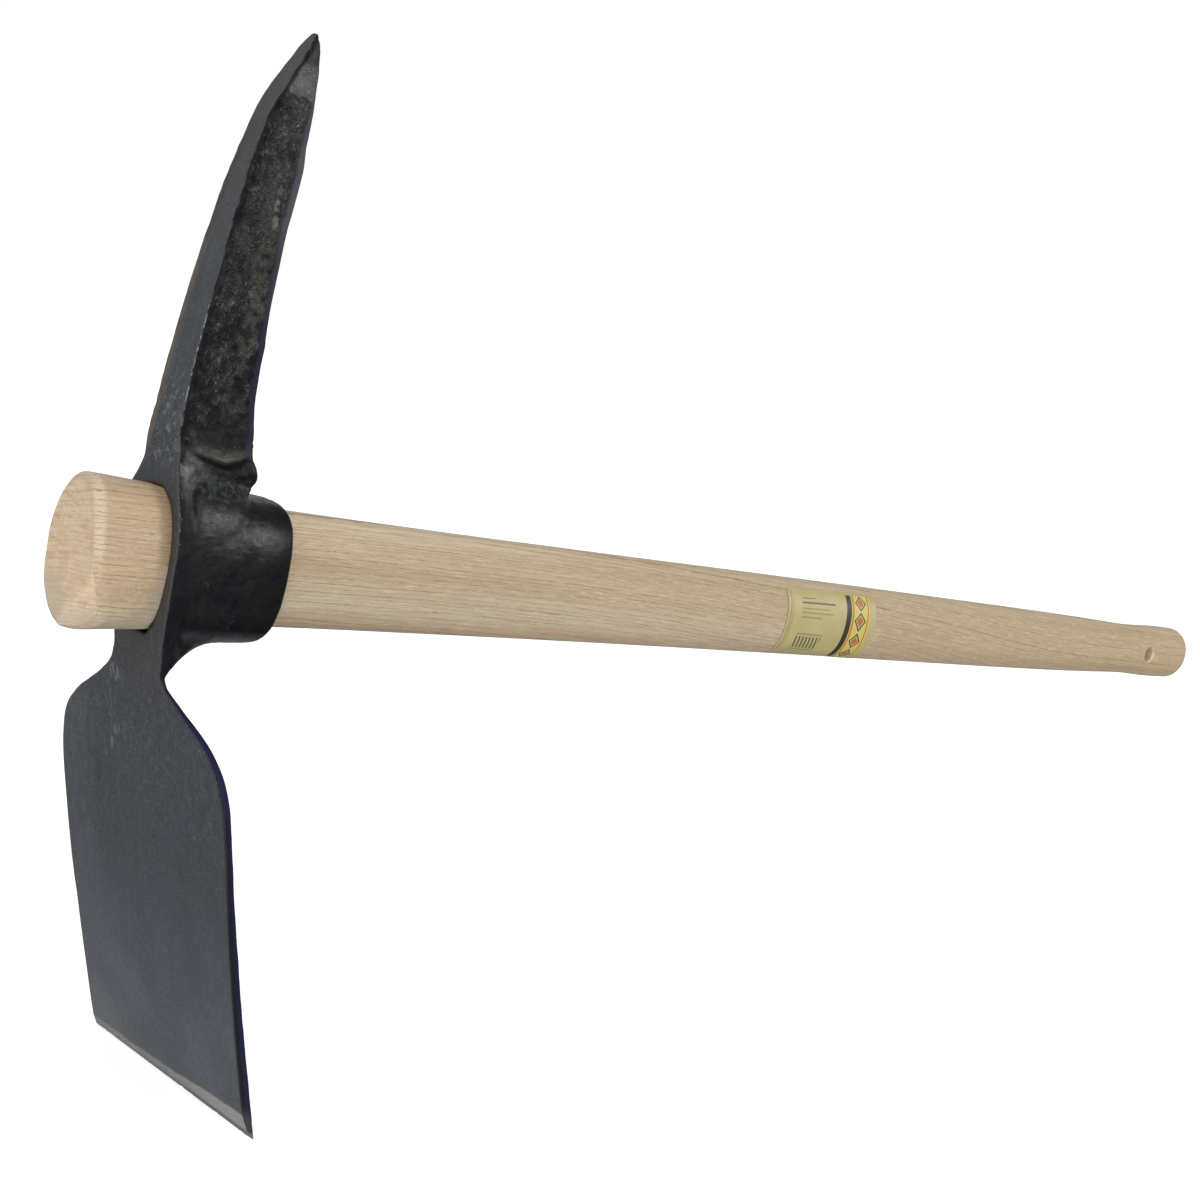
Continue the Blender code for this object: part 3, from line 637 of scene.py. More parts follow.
def mesh_from_arrays(name, co, faces, attributes, sharp=None):
    mesh = bpy.data.meshes.new(name)
    mesh.from_pydata((co * MM).tolist(), [], faces.tolist() if hasattr(faces, "tolist") else faces)
    for key, values in attributes.items():
        values = np.asarray(values, np.float32)
        if values.ndim == 1:
            layer = mesh.attributes.new(key, "FLOAT", "POINT")
            layer.data.foreach_set("value", values)
        else:
            layer = mesh.attributes.new(key, "FLOAT_VECTOR", "POINT")
            layer.data.foreach_set("vector", values.reshape(-1))
    mesh.update()
    mesh.shade_smooth()
    if sharp is not None:
        mesh.set_sharp_from_angle(angle=math.radians(sharp))
    obj = bpy.data.objects.new(name, mesh)
    bpy.context.scene.collection.objects.link(obj)
    return obj


# ------------------------------------------------------------------- handle
def grip_drop(x):
    u = np.clip((np.asarray(x, float) - 420.0) / 560.0, 0.0, 1.0)
    return -GRIP_DROP * u * u * (3.0 - 2.0 * u)


def handle_ring(x, count, inset=0.0, grow=0.0, at=None):
    h = float(np.interp(x, XD, HH)) - inset + grow
    w = float(np.interp(x, XD, HW)) - inset + grow
    n = float(np.interp(x, XD, HN))
    a = 2.0 * np.pi * np.arange(count) / count
    c, s = np.cos(a), np.sin(a)
    y = np.sign(c) * np.abs(c) ** (2.0 / n) * w
    z = np.sign(s) * smin(np.abs(s) ** (2.0 / n) * h, float(np.interp(x, XD, HF)) - inset + grow, 0.7)
    return np.stack([np.full(count, x if at is None else at), y, z + grip_drop(x)], 1)


# slope of the grain against the handle's axis, along x
GRAIN_SLOPE = [(0.0, 0.004), (90.0, 0.0), (230.0, 0.012), (330.0, 0.035), (450.0, 0.05),
               (560.0, 0.06), (680.0, 0.085), (760.0, 0.08), (850.0, 0.04), (930.0, 0.015),
               (1041.0, 0.01)]
_gx = np.arange(0.0, 1046.0, 1.0)
_gz = np.cumsum(spline(GRAIN_SLOPE, _gx, 1))


def grain_coordinates(co):
    """Position along and across the fibres, and the growth ring it lies in."""
    x, y, z = co.T
    zz = z - grip_drop(x) + np.interp(x, _gx, _gz)
    far = co / np.array([230.0, 46.0, 46.0])
    mid = co / np.array([85.0, 17.0, 17.0])
    fine = co / np.array([30.0, 7.0, 7.0])
    warp = 2.6 * noise(far, 61) + 0.85 * noise(mid, 62) + 0.22 * noise(fine, 63)
    r = np.hypot(zz + 190.0 + 0.30 * y, y - 10.0) + warp
    rng = np.random.RandomState(5)
    widths = 1.95 * np.exp(0.42 * rng.normal(size=140))
    edges = np.concatenate([[0.0], np.cumsum(widths)])
    ring = np.interp(r - 90.0, edges, np.arange(len(edges)))
    fibre = np.stack([x, y, zz + 0.4 * noise(mid, 64)], 1)
    return fibre * MM, ring


def butt_shape(co):
    """The near side of the butt leans in towards its top, and its lower near corner is cut off."""
    x, y, z = co.T
    near = np.interp(z, [-34.0, -12.0, -2.0, 8.0, 18.0, 25.6, 33.0, 36.0],
                     [0.0, 0.0, 0.10, 0.215, 0.28, 0.32, 0.25, 0.20]) * smooth(2.0, -6.0, y)
    y2 = y * (1 - near * np.clip(1 - x / 31.0, 0, 1))
    cut = smax(-1.407 * y - 1.118 * z - 42.4, 0.0, 9.0)
    return np.stack([x + cut * np.clip(1 - x / 32.0, 0, 1), y2, z], 1)


def build_handle():
    count = 128
    stations = axis_steps([(BUTT_CHAMFER + 1.2, 1.1), (12.0, 1.6), (60.0, 2.2), (900.0, 1.6),
                           (HANDLE_LENGTH - KNOB_ROUND, None)])
    rows = []
    # end face from the middle out, then the sloping band, then the shaft
    outer = handle_ring(BUTT_CHAMFER, count)
    face = handle_ring(BUTT_CHAMFER, count, inset=BUTT_CHAMFER_INSET, at=0.0)
    less = np.where(outer[:, 1] < 0, np.interp(outer[:, 2], [-20.0, -2.0, 8.0, 24.0], [0.35, 0.50, 0.80, 1.0]), 1.0)
    face[:, 1:] = outer[:, 1:] + (face[:, 1:] - outer[:, 1:]) * less[:, None]
    centre = np.array([0.0, 0.0, 0.0])
    for share in np.linspace(0.06, 0.985, 18):
        rows.append(centre + (face - centre) * share)
    steps = 7
    for k in range(steps + 1):
        t = k / steps
        rows.append(face + (outer - face) * t)
    rows[18][:, 0] += 0.12
    rows[-1] = handle_ring(BUTT_CHAMFER + 0.2, count, inset=0.15)
    for x in stations:
        rows.append(handle_ring(x, count))
    start = HANDLE_LENGTH - KNOB_ROUND
    last = handle_ring(start, count)
    middle = np.array([0.0, 0.0, float(grip_drop(start))])
    for k in range(1, 13):
        a = math.radians(90.0) * k / 12
        ring = handle_ring(start, count, inset=12.4 * (1.0 - math.cos(a)), at=start + (KNOB_ROUND - 0.7) * math.sin(a))
        rows.append(ring)
    rim = rows[-1].copy()
    for share in np.linspace(0.85, 0.1, 7):
        ring = rim.copy()
        ring[:, 1] *= share
        ring[:, 2] = middle[2] + (ring[:, 2] - middle[2]) * share
        ring[:, 0] += 0.6 * (1 - share ** 2)
        rows.append(ring)
    co = np.concatenate(rows)
    faces = []
    for r in range(len(rows) - 1):
        a, b = r * count, (r + 1) * count
        for k in range(count):
            j = (k + 1) % count
            faces.append((a + k, a + j, b + j, b + k))
    co = np.concatenate([co, [[0.0, 0.0, 0.0]], [[rim[0, 0] + 0.6, 0.0, middle[2]]]])
    first, final = len(co) - 2, len(co) - 1
    top = (len(rows) - 1) * count
    for k in range(count):
        j = (k + 1) % count
        faces.append((first, j, k))
        faces.append((final, top + k, top + j))
    faces = [tuple(reversed(f)) for f in faces]

    co = np.where((co[:, 0] < 40.0)[:, None], butt_shape(co), co)
    nominal = np.concatenate([r[:, 0] for r in rows] + [[0.0], [rim[0, 0]]])
    shares = np.concatenate([np.repeat(np.linspace(0.06, 0.985, 18), count), np.ones(len(co) - 18 * count)])
    shares[-2] = 0.0

    # hand-finished surface: shallow flats and waves, none inside the eye or under the label
    x = co[:, 0]
    axis = np.stack([np.zeros(len(co)), co[:, 1], co[:, 2] - grip_drop(x)], 1)
    length = np.linalg.norm(axis, axis=1)[:, None]
    out = axis / np.maximum(length, 1e-6)
    free = (smooth(118.0, 150.0, x) + (1 - smooth(18.0, 30.0, x))) \
        * (1 - smooth(486.0, 493.0, x) * (1 - smooth(592.0, 599.0, x)))
    wave = 0.16 * noise(co / np.array([95.0, 24.0, 24.0]), 80) + 0.05 * noise(co / np.array([26.0, 7.0, 7.0]), 81)
    body = smooth(0.5, 5.0, x)
    co = co + out * (free * body * wave)[:, None]
    swell = 0.9 * smooth(4.0, 14.0, co[:, 1]) * smooth(-4.0, 6.0, co[:, 2]) \
        - 1.0 * np.exp(-(((co[:, 1] - 13.0) / 7.0) ** 2 + ((co[:, 2] + 26.0) / 7.0) ** 2))
    co = co + out * (swell * (1 - smooth(14.0, 30.0, x)) * np.clip(length[:, 0] / 18.0, 0, 1))[:, None]
    # saw marks and torn fibres on the end face, ridges of hard latewood on the band
    fibre, ring = grain_coordinates(co)
    frac = ring - np.floor(ring)
    hard = smooth(0.15, 0.6, frac) * (1 - smooth(0.9, 1.0, frac))
    end = 1 - smooth(0.13, 0.4, nominal)
    saw = 0.05 * np.sin((co[:, 2] * 0.93 + co[:, 1] * 0.36) * 2.0) + 0.10 * noise(co / 3.0, 83)
    co[:, 0] += end * (saw + 0.12 * hard)
    upper = np.interp(co[:, 2], [-26.0, -17.0, -5.0, 4.0], [0.0, 0.35, 0.5, 1.0])
    band = smooth(0.2, 1.2, nominal) * (1 - smooth(3.4, 5.2, nominal)) * upper
    co = co + out * (band * (0.16 * hard - 0.06 + 0.08 * noise(co / 1.7, 84)))[:, None]
    # torn fibres along the lower far edge
    torn = smooth(0.0, 0.6, nominal) * (1 - smooth(3.6, 6.0, nominal)) * smooth(-6.0, -14.0, co[:, 2]) * smooth(-8.0, 4.0, co[:, 1])
    co = co + out * (torn * 0.45 * noise(co / 1.5, 85))[:, None]

    fibre, ring = grain_coordinates(co)
    knob = smooth(HANDLE_LENGTH - 9.0, HANDLE_LENGTH - 3.0, co[:, 0])
    ends = np.clip(end + knob, 0, 1)
    bands = smooth(0.0, 0.6, nominal) * (1 - smooth(2.8, 6.2, nominal)) * upper * (0.2 + 0.8 * smooth(-8.0, 6.0, co[:, 2]))
    # painted shade: a darker line where the end face meets the sloping band
    seam_shade = np.exp(-((nominal - 0.1) / 0.5) ** 2) * smooth(0.90, 0.96, shares) * smooth(-6.0, 4.0, co[:, 2]) \
        * smooth(2.0, -4.0, co[:, 1])
    marks = np.stack([ends, bands, seam_shade], 1)
    return mesh_from_arrays("ash_handle_wood", co, faces,
                            {"fibre": fibre, "ring": ring, "marks": marks, "tint": wood_tints(co)}, sharp=50)


def wood_tints(co):
    """Painted shade and light on the butt: a tan band of painted shade before the eye, painted grey light low on the
    butt and along its top; warm end grain.
    """
    x, y, z = co.T
    wob = noise(co / np.array([9.0, 6.0, 6.0]), 90)
    tan = smooth(29.0, 32.5, x + 1.5 * wob) * (1 - smooth(42.0, 68.0, x + 6.0 * wob)) * smooth(-5.0, 3.0, z + 4.0 * wob)
    edge = np.interp(z, [-33.0, -27.0, -21.0, 0.0], [24.0, 30.0, 34.0, 34.5])
    # painted light: greyer low on the butt, along its top edge and in a patch on the end face
    grey = smooth(-1.2, 1.6, x - edge + 1.6 * wob) * (1 - smooth(40.0, 68.0, x + 6.0 * wob)) * smooth(2.0, -3.0, z)
    grey = grey + 0.7 * smooth(-21.0, -29.0, z + 4.0 * wob) * (1 - smooth(40.0, 80.0, x))
    grey = grey + 0.8 * smooth(31.6, 34.0, z) * (1 - smooth(40.0, 60.0, x))
    grey = grey + smooth(8.0, 2.0, np.hypot(y - 10.0, z + 24.0) - 6.5 + 4.0 * wob) * (x < 4.0)
    warm = smooth(6.0, -4.0, z + 6.0 * noise(co / 12.0, 91)) * (x < 4.0)
    return np.stack([tan, np.clip(grey, 0, 1), warm], 1)


def hole_cutter():
    """Drill with a small countersink that breaks the edges of the hole."""
    half = float(np.interp(HOLE_X, XD, HW))
    profile = [(-40.0, 8.5), (-half - 0.6, 8.5), (-half + 1.3, HOLE_RADIUS), (-half / 2, HOLE_RADIUS),
               (half / 2, HOLE_RADIUS), (half - 1.3, HOLE_RADIUS), (half + 0.6, 8.5), (40.0, 8.5)]
    count = 72
    rows = []
    for y, r in profile:
        a = 2 * np.pi * np.arange(count) / count
        rows.append(np.stack([HOLE_X + r * np.cos(a), np.full(count, y), grip_drop(HOLE_X) + r * np.sin(a)], 1))
    co = np.concatenate(rows)
    faces = [tuple(range(count))]
    for r in range(len(rows) - 1):
        for k in range(count):
            j = (k + 1) % count
            faces.append((r * count + j, r * count + k, (r + 1) * count + k, (r + 1) * count + j))
    faces.append(tuple(reversed(range((len(rows) - 1) * count, len(rows) * count))))
    mesh = bpy.data.meshes.new("hole_cutter")
    mesh.from_pydata((co * MM).tolist(), [], faces)
    bm = bmesh.new()
    bm.from_mesh(mesh)
    bmesh.ops.recalc_face_normals(bm, faces=bm.faces)
    bm.to_mesh(mesh)
    bm.free()
    obj = bpy.data.objects.new("hole_cutter", mesh)
    bpy.context.scene.collection.objects.link(obj)
    return obj


# ---------------------------------------------------------------- materials
WOOD_PALE = (0.540, 0.418, 0.268)
WOOD_PINK = (0.530, 0.388, 0.242)
WOOD_GREY = (0.500, 0.412, 0.290)
WOOD_TAN = (0.400, 0.280, 0.168)
WOOD_HONEY = (0.480, 0.345, 0.195)
WOOD_DULL_SHADE = (0.362, 0.276, 0.164)
WOOD_GREY_LIGHT = (0.480, 0.412, 0.308)
WOOD_WHEAT = (0.395, 0.330, 0.150)
WOOD_LINE = (0.325, 0.212, 0.122)
WOOD_PORE = (0.290, 0.192, 0.112)
WOOD_LIGHT = (0.650, 0.535, 0.380)
END_PALE = (0.620, 0.485, 0.315)
END_WARM = (0.600, 0.425, 0.265)
END_DARK = (0.400, 0.275, 0.165)
END_LIGHT = (0.670, 0.545, 0.395)
END_GREY = (0.450, 0.385, 0.285)
LABEL_A = (0.405, 0.344, 0.150)
LABEL_B = (0.442, 0.374, 0.172)


class Tree:
    """Short names for building a node tree."""

    def __init__(self, name):
        self.material = bpy.data.materials.new(name)
        self.material.use_nodes = True
        self.tree = self.material.node_tree
        self.shader = self.tree.nodes["Principled BSDF"]

    def node(self, kind, **props):
        node = self.tree.nodes.new(kind)
        for key, value in props.items():
            setattr(node, key, value)
        return node

    def link(self, a, b):
        self.tree.links.new(a, b)

    def put(self, socket, value):
        if hasattr(value, "is_linked") or isinstance(value, bpy.types.NodeSocket):
            self.link(value, socket)
        else:
            socket.default_value = value

    def attribute(self, name):
        node = self.node("ShaderNodeAttribute", attribute_name=name, attribute_type="GEOMETRY")
        return node

    def parts(self, name):
        split = self.node("ShaderNodeSeparateXYZ")
        self.link(self.attribute(name).outputs["Vector"], split.inputs[0])
        return split.outputs[0], split.outputs[1], split.outputs[2]

    def math(self, operation, a, b=None, c=None, clamp=False):
        node = self.node("ShaderNodeMath", operation=operation, use_clamp=clamp)
        self.put(node.inputs[0], a)
        if b is not None:
            self.put(node.inputs[1], b)
        if c is not None:
            self.put(node.inputs[2], c)
        return node.outputs[0]

    def scaled(self, vector, factors):
        node = self.node("ShaderNodeVectorMath", operation="MULTIPLY")
        self.link(vector, node.inputs[0])
        node.inputs[1].default_value = factors
        return node.outputs[0]

    def coordinates(self):
        return self.node("ShaderNodeTexCoord").outputs["Object"]

    def noise(self, vector, scale, detail=3.0, rough=0.55, distort=0.0):
        node = self.node("ShaderNodeTexNoise")
        node.inputs["Scale"].default_value = scale
        node.inputs["Detail"].default_value = detail
        node.inputs["Roughness"].default_value = rough
        node.inputs["Distortion"].default_value = distort
        self.link(vector, node.inputs["Vector"])
        return node.outputs["Fac"]

    def band(self, value, lo, hi, a=0.0, b=1.0):
        """a below lo, b above hi, smooth between."""
        node = self.node("ShaderNodeMapRange", interpolation_type="SMOOTHSTEP")
        self.put(node.inputs["Value"], value)
        node.inputs["From Min"].default_value = lo
        node.inputs["From Max"].default_value = hi
        node.inputs["To Min"].default_value = a
        node.inputs["To Max"].default_value = b
        return node.outputs["Result"]

    def mix(self, factor, a, b, blend="MIX"):
        node = self.node("ShaderNodeMix", data_type="RGBA", blend_type=blend)
        self.put(node.inputs[0], factor)
        for socket, value in ((node.inputs[6], a), (node.inputs[7], b)):
            if isinstance(value, tuple):
                socket.default_value = (*value, 1.0)
            else:
                self.link(value, socket)
        return node.outputs[2]

    def blend(self, factor, a, b):
        node = self.node("ShaderNodeMix", data_type="FLOAT")
        self.put(node.inputs[0], factor)
        self.put(node.inputs[2], a)
        self.put(node.inputs[3], b)
        return node.outputs[0]

    def bump(self, height, strength, distance, normal=None):
        node = self.node("ShaderNodeBump")
        node.inputs["Strength"].default_value = strength
        node.inputs["Distance"].default_value = distance
        self.link(height, node.inputs["Height"])
        if normal is not None:
            self.link(normal, node.inputs["Normal"])
        return node.outputs["Normal"]


# marks on the front: (y, z, half width, half height, colour, strength)
SPOTS = [
    (0.0201, -0.0602, 0.0056, 0.0056, (0.165, 0.172, 0.172), 0.60),
    (0.0262, -0.0690, 0.0022, 0.0052, (0.125, 0.132, 0.134), 0.50),
    (0.0270, -0.0795, 0.0018, 0.0064, (0.140, 0.148, 0.150), 0.55),
    (0.0215, -0.0885, 0.0042, 0.0042, (0.130, 0.138, 0.140), 0.55),
    (0.0250, -0.0964, 0.0019, 0.0042, (0.135, 0.142, 0.144), 0.55),
    (0.0305, -0.1028, 0.0019, 0.0024, (0.125, 0.132, 0.134), 0.50),
    (-0.0019, -0.0698, 0.0016, 0.0018, (0.120, 0.126, 0.128), 0.45),
    (0.0060, -0.0500, 0.0110, 0.0080, (0.024, 0.022, 0.022), 0.45),
    (-0.0540, -0.2350, 0.0180, 0.0260, (0.052, 0.057, 0.060), 0.45),
    (0.0376, -0.1180, 0.0052, 0.0190, (0.018, 0.020, 0.024), 0.60),
    (-0.0124, -0.2479, 0.0011, 0.0013, (0.012, 0.012, 0.014), 0.90),
    (-0.0370, -0.2468, 0.0013, 0.0011, (0.012, 0.012, 0.014), 0.90),
    (0.0183, -0.2628, 0.0010, 0.0012, (0.012, 0.012, 0.014), 0.90),
    (-0.0350, -0.1500, 0.0110, 0.0600, (0.028, 0.031, 0.036), 0.25),
    (0.0100, -0.1700, 0.0060, 0.0500, (0.026, 0.029, 0.034), 0.20),
]
# marks on the near flank of the pick: (x, z, half width, half height, colour, strength)
FLANK_SPOTS = [
    (0.0610, 0.1680, 0.0070, 0.0160, (0.046, 0.046, 0.038), 0.75),
    (0.0644, 0.1675, 0.0022, 0.0034, (0.170, 0.166, 0.134), 0.85),
    (0.0651, 0.1600, 0.0025, 0.0038, (0.150, 0.146, 0.114), 0.85),
    (0.0650, 0.1745, 0.0016, 0.0026, (0.120, 0.118, 0.096), 0.60),
    (0.0610, 0.1420, 0.0055, 0.0120, (0.052, 0.048, 0.036), 0.60),
    (0.0625, 0.1250, 0.0075, 0.0150, (0.064, 0.059, 0.046), 0.85),
    (0.0625, 0.1070, 0.0065, 0.0130, (0.056, 0.052, 0.041), 0.80),
    (0.0480, 0.1520, 0.0050, 0.0070, (0.040, 0.030, 0.028), 0.85),
    (0.0490, 0.1330, 0.0040, 0.0090, (0.046, 0.034, 0.031), 0.80),
]


def steel_material():
    t = Tree("forged_steel_skin")
    front, rough, relief = t.parts("mask_a")
    rim, strip, patch = t.parts("mask_b")
    brown, lip, eye = t.parts("mask_c")
    across, behind, above = t.parts("mask_d")
    soot, ridge_olive_light, slope = t.parts("mask_e")
    black, rearward, bore_shade = t.parts("mask_f")
    shelf, far_edge, tip = t.parts("mask_g")
    underside_light, hollow_shade, back = t.parts("mask_h")
    p = t.coordinates()
    place = t.node("ShaderNodeSeparateXYZ")
    t.link(p, place.inputs[0])
    y, z = place.outputs[1], place.outputs[2]

    def spot(a, b, a0, b0, ra, rb):
        far_a = t.math("MULTIPLY", t.math("SUBTRACT", a, a0), 1.0 / ra)
        far_b = t.math("MULTIPLY", t.math("SUBTRACT", b, b0), 1.0 / rb)
        reach = t.math("ADD", t.math("MULTIPLY", far_a, far_a), t.math("MULTIPLY", far_b, far_b))
        return t.band(reach, 1.0, 0.15)

    # black scale with olive and brown patches; painted shade darkest beside the arris and in the pits, painted
    # highlights on the crests
    tone = t.noise(p, 46.0, 3.0, 0.62)
    fine = t.noise(p, 560.0, 3.0, 0.65)
    inner = t.band(t.math("MULTIPLY_ADD", t.noise(p, 150.0, 3.0), 7.0, behind), 5.2, 10.5)
    high_up = t.band(z, 0.085, 0.150, 0.30, 0.95)
    cover = t.math("MULTIPLY", t.math("MULTIPLY", rough, inner), t.band(t.noise(p, 95.0, 3.0, 0.6), 0.34, 0.60))
    scale = t.mix(t.math("MULTIPLY", cover, high_up), (0.0050, 0.0050, 0.0066), (0.0140, 0.0150, 0.0142))
    scale = t.mix(t.math("MULTIPLY", eye, t.band(t.noise(p, 120.0, 3.0, 0.6), 0.34, 0.64, 0.15, 1.0)), scale,
                  (0.0088, 0.0080, 0.0098))
    patchy = t.math("MULTIPLY", t.band(t.math("MULTIPLY_ADD", rearward, 0.16, tone), 0.56, 0.74),
                    t.math("MULTIPLY_ADD", rough, 0.92, 0.08))
    scale = t.mix(t.math("MULTIPLY", patchy, inner), scale, (0.0360, 0.0320, 0.0225))
    # painted shade: purple-black beside the front arris of the pick
    beside = t.math("MULTIPLY", rough, t.band(inner, 1.0, 0.0))
    scale = t.mix(t.math("MULTIPLY", beside, 0.75), scale, (0.0056, 0.0042, 0.0066))
    bruise = t.math("MULTIPLY", beside, t.math("MULTIPLY", t.band(z, 0.085, 0.120), t.band(t.noise(p, 270.0, 3.0, 0.6), 0.50, 0.66)))
    scale = t.mix(t.math("MULTIPLY", bruise, 0.75), scale, (0.030, 0.025, 0.036))
    # wrinkles a millimetre or two apart, strongest in the upper half of the flank, with painted shade in their troughs
    # and a painted highlight on their crests
    wrinkle = t.noise(p, 430.0, 3.0, 0.62, 1.1)
    wrinkled = t.math("MULTIPLY", t.math("MULTIPLY", rough, t.band(z, 0.075, 0.125, 0.35, 1.0)),
                      t.math("MULTIPLY", t.band(inner, 0.0, 1.0, 0.25, 1.0), t.band(t.noise(p, 70.0, 2.0), 0.30, 0.55, 0.25, 1.0)))
    scale = t.mix(t.math("MULTIPLY", wrinkled, t.band(wrinkle, 0.50, 0.36, 0.0, 0.85)), scale, (0.0030, 0.0032, 0.0034))
    scale = t.mix(t.math("MULTIPLY", wrinkled, t.band(wrinkle, 0.52, 0.64, 0.0, 0.85)), scale, (0.0470, 0.0510, 0.0455))
    scale = t.mix(t.math("MULTIPLY", wrinkled, t.band(wrinkle, 0.60, 0.69, 0.0, 0.90)), scale, (0.1450, 0.1540, 0.1420))
    near_side = t.band(y, -0.001, -0.004)
    ragged_flank = t.math("MULTIPLY", t.band(t.noise(p, 480.0, 3.0, 0.65), 0.34, 0.56, 0.10, 1.0), near_side)
    for x0, z0, rx, rz, tone_there, share in FLANK_SPOTS:
        there = t.math("MULTIPLY", spot(place.outputs[0], z, x0, z0, rx, rz), near_side if rx < 0.003 else ragged_flank)
        scale = t.mix(t.math("MULTIPLY", there, share), scale, tone_there)
    # olive-brown tone on the ridge, partly its scale and partly painted light where it faces up
    scale = t.mix(t.math("MULTIPLY", ridge_olive_light, t.band(t.noise(p, 260.0, 3.0), 0.30, 0.62, 0.60, 1.0)), scale,
                  (0.0610, 0.0530, 0.0400))
    # painted light: grey on the upward-facing slope between the groove and the fold
    scale = t.mix(t.math("MULTIPLY", slope, t.band(t.noise(p, 420.0, 3.0, 0.65), 0.34, 0.62, 0.42, 1.0)), scale,
                  (0.0720, 0.0740, 0.0720))
    # painted highlight: the crests of the relief are lighter
    crest_highlight = t.math("MULTIPLY", t.band(relief, 0.54, 0.86), t.band(fine, 0.47, 0.68))
    scale = t.mix(crest_highlight, scale, (0.082, 0.086, 0.084))
    # painted highlights: thin bright ridges of the scale
    vein_glints = t.math("ABSOLUTE", t.math("SUBTRACT", t.noise(p, 330.0, 2.0, 0.5, 0.6), 0.5))
    vein_glints = t.math("MULTIPLY", t.band(vein_glints, 0.026, 0.004), t.band(t.noise(p, 130.0, 2.0), 0.50, 0.64))
    vein_glints = t.math("MULTIPLY", vein_glints, t.math("MULTIPLY", rough, inner))
    scale = t.mix(t.math("MULTIPLY", vein_glints, 0.75), scale, (0.150, 0.158, 0.150))
    # painted shade: the pits of the relief are near black
    scale = t.mix(t.math("MULTIPLY", t.band(relief, 0.42, 0.15), 0.8), scale, (0.0015, 0.0015, 0.002))
    # painted shade: near black in the grooves and creases of the pick's root
    scale = t.mix(t.math("MULTIPLY", black, 0.90), scale, (0.0022, 0.0023, 0.0030))
    scale = t.mix(t.math("MULTIPLY", shelf, t.band(t.noise(p, 430.0, 3.0, 0.65), 0.40, 0.62, 0.05, 0.85)), scale,
                  (0.0380, 0.0440, 0.0430))
    capped = t.mix(t.band(t.math("MULTIPLY_ADD", t.noise(p, 260.0, 2.0), 1.6, behind), 2.8, 5.4), (0.0026, 0.0026, 0.0042),
                   (0.0185, 0.0195, 0.0180))
    capped = t.mix(t.band(rearward, 0.48, 0.74), capped, (0.0068, 0.0066, 0.0210))
    scale = t.mix(t.math("MULTIPLY", tip, 0.96), scale, capped)
    # painted shade: the dark band above the ridge
    scale = t.mix(t.math("MULTIPLY", hollow_shade, 0.70), scale, (0.0045, 0.0037, 0.0048))
    # painted light: the eye's underside is painted lighter
    scale = t.mix(t.math("MULTIPLY", underside_light, t.band(t.noise(p, 300.0, 3.0, 0.6), 0.30, 0.65, 0.55, 1.0)), scale,
                  (0.0700, 0.0680, 0.0780))
    # painted glints: small bright specks on the scale
    glint_specks = t.math("MULTIPLY", t.band(t.noise(p, 820.0, 2.0, 0.55), 0.635, 0.700), t.band(t.noise(p, 110.0, 2.0), 0.52, 0.66))
    where = t.math("MAXIMUM", t.math("MULTIPLY", rough, t.band(z, 0.150, 0.110, 0.45, 1.0)),
                   t.math("MAXIMUM", shelf, t.math("MULTIPLY", black, 0.6)))
    scale = t.mix(t.math("MULTIPLY", t.math("MULTIPLY", glint_specks, where), 0.60), scale, (0.170, 0.182, 0.176))
    # the pick's rear strip, which faces away: dark navy low down as painted shade, lighter purple-grey higher up
    edge_tone = t.mix(t.band(z, 0.108, 0.135), (0.0128, 0.0122, 0.0320), (0.0330, 0.0322, 0.0470))
    edge_tone = t.mix(t.band(z, 0.135, 0.168), edge_tone, (0.0800, 0.0812, 0.0960))
    edge_tone = t.mix(t.band(z, 0.188, 0.205), edge_tone, (0.0640, 0.0650, 0.0820))
    scale = t.mix(t.math("MULTIPLY", strip, 0.85), scale, edge_tone)
    # the blade's side: near black on the knocked-back arris, navy behind it, grey at the lower corner
    navy = t.band(t.math("ADD", behind, t.band(z, -0.108, -0.086, 0.0, 1.7)), 0.9, 1.9)
    flank_blue = t.mix(navy, (0.0062, 0.0072, 0.0074), (0.0120, 0.0122, 0.0420))
    flank_blue = t.mix(t.band(z, -0.246, -0.256), flank_blue, (0.0420, 0.0410, 0.0460))
    scale = t.mix(t.band(z, -0.050, -0.062, 0.0, 0.95), scale, flank_blue)
    # the back of blade and pick: the skin of the front, duller, with forging scale in streaks and patches
    drawn = t.noise(t.scaled(p, (1.0, 1.0, 0.12)), 240.0, 3.0, 0.6)
    skin = t.mix(t.band(t.noise(p, 60.0, 3.0, 0.6), 0.36, 0.64), (0.0170, 0.0190, 0.0240), (0.0350, 0.0390, 0.0450))
    skin = t.mix(t.band(drawn, 0.50, 0.66, 0.0, 0.55), skin, (0.0120, 0.0125, 0.0150))
    skin = t.mix(t.band(t.noise(p, 330.0, 3.0, 0.68), 0.54, 0.70, 0.0, 0.45), skin, (0.0600, 0.0640, 0.0680))
    skin = t.mix(t.band(t.noise(p, 150.0, 3.0, 0.6), 0.60, 0.72, 0.0, 0.60), skin, (0.0420, 0.0330, 0.0260))
    scale = t.mix(back, scale, skin)
    # weathered patch near the point, with a painted highlight along its rear edge
    weathered_and_edge_light = t.mix(t.band(t.noise(p, 150.0, 3.0), 0.38, 0.62), (0.026, 0.029, 0.027), (0.060, 0.064, 0.061))
    weathered_and_edge_light = t.mix(t.math("MULTIPLY", t.band(z, 0.2235, 0.2285), t.band(behind, 2.6, 5.0, 0.0, 0.70)), weathered_and_edge_light, (0.0230, 0.0270, 0.0240))
    weathered_and_edge_light = t.mix(t.band(rearward, 0.86, 0.97), weathered_and_edge_light, (0.095, 0.099, 0.122))
    scale = t.mix(patch, scale, weathered_and_edge_light)

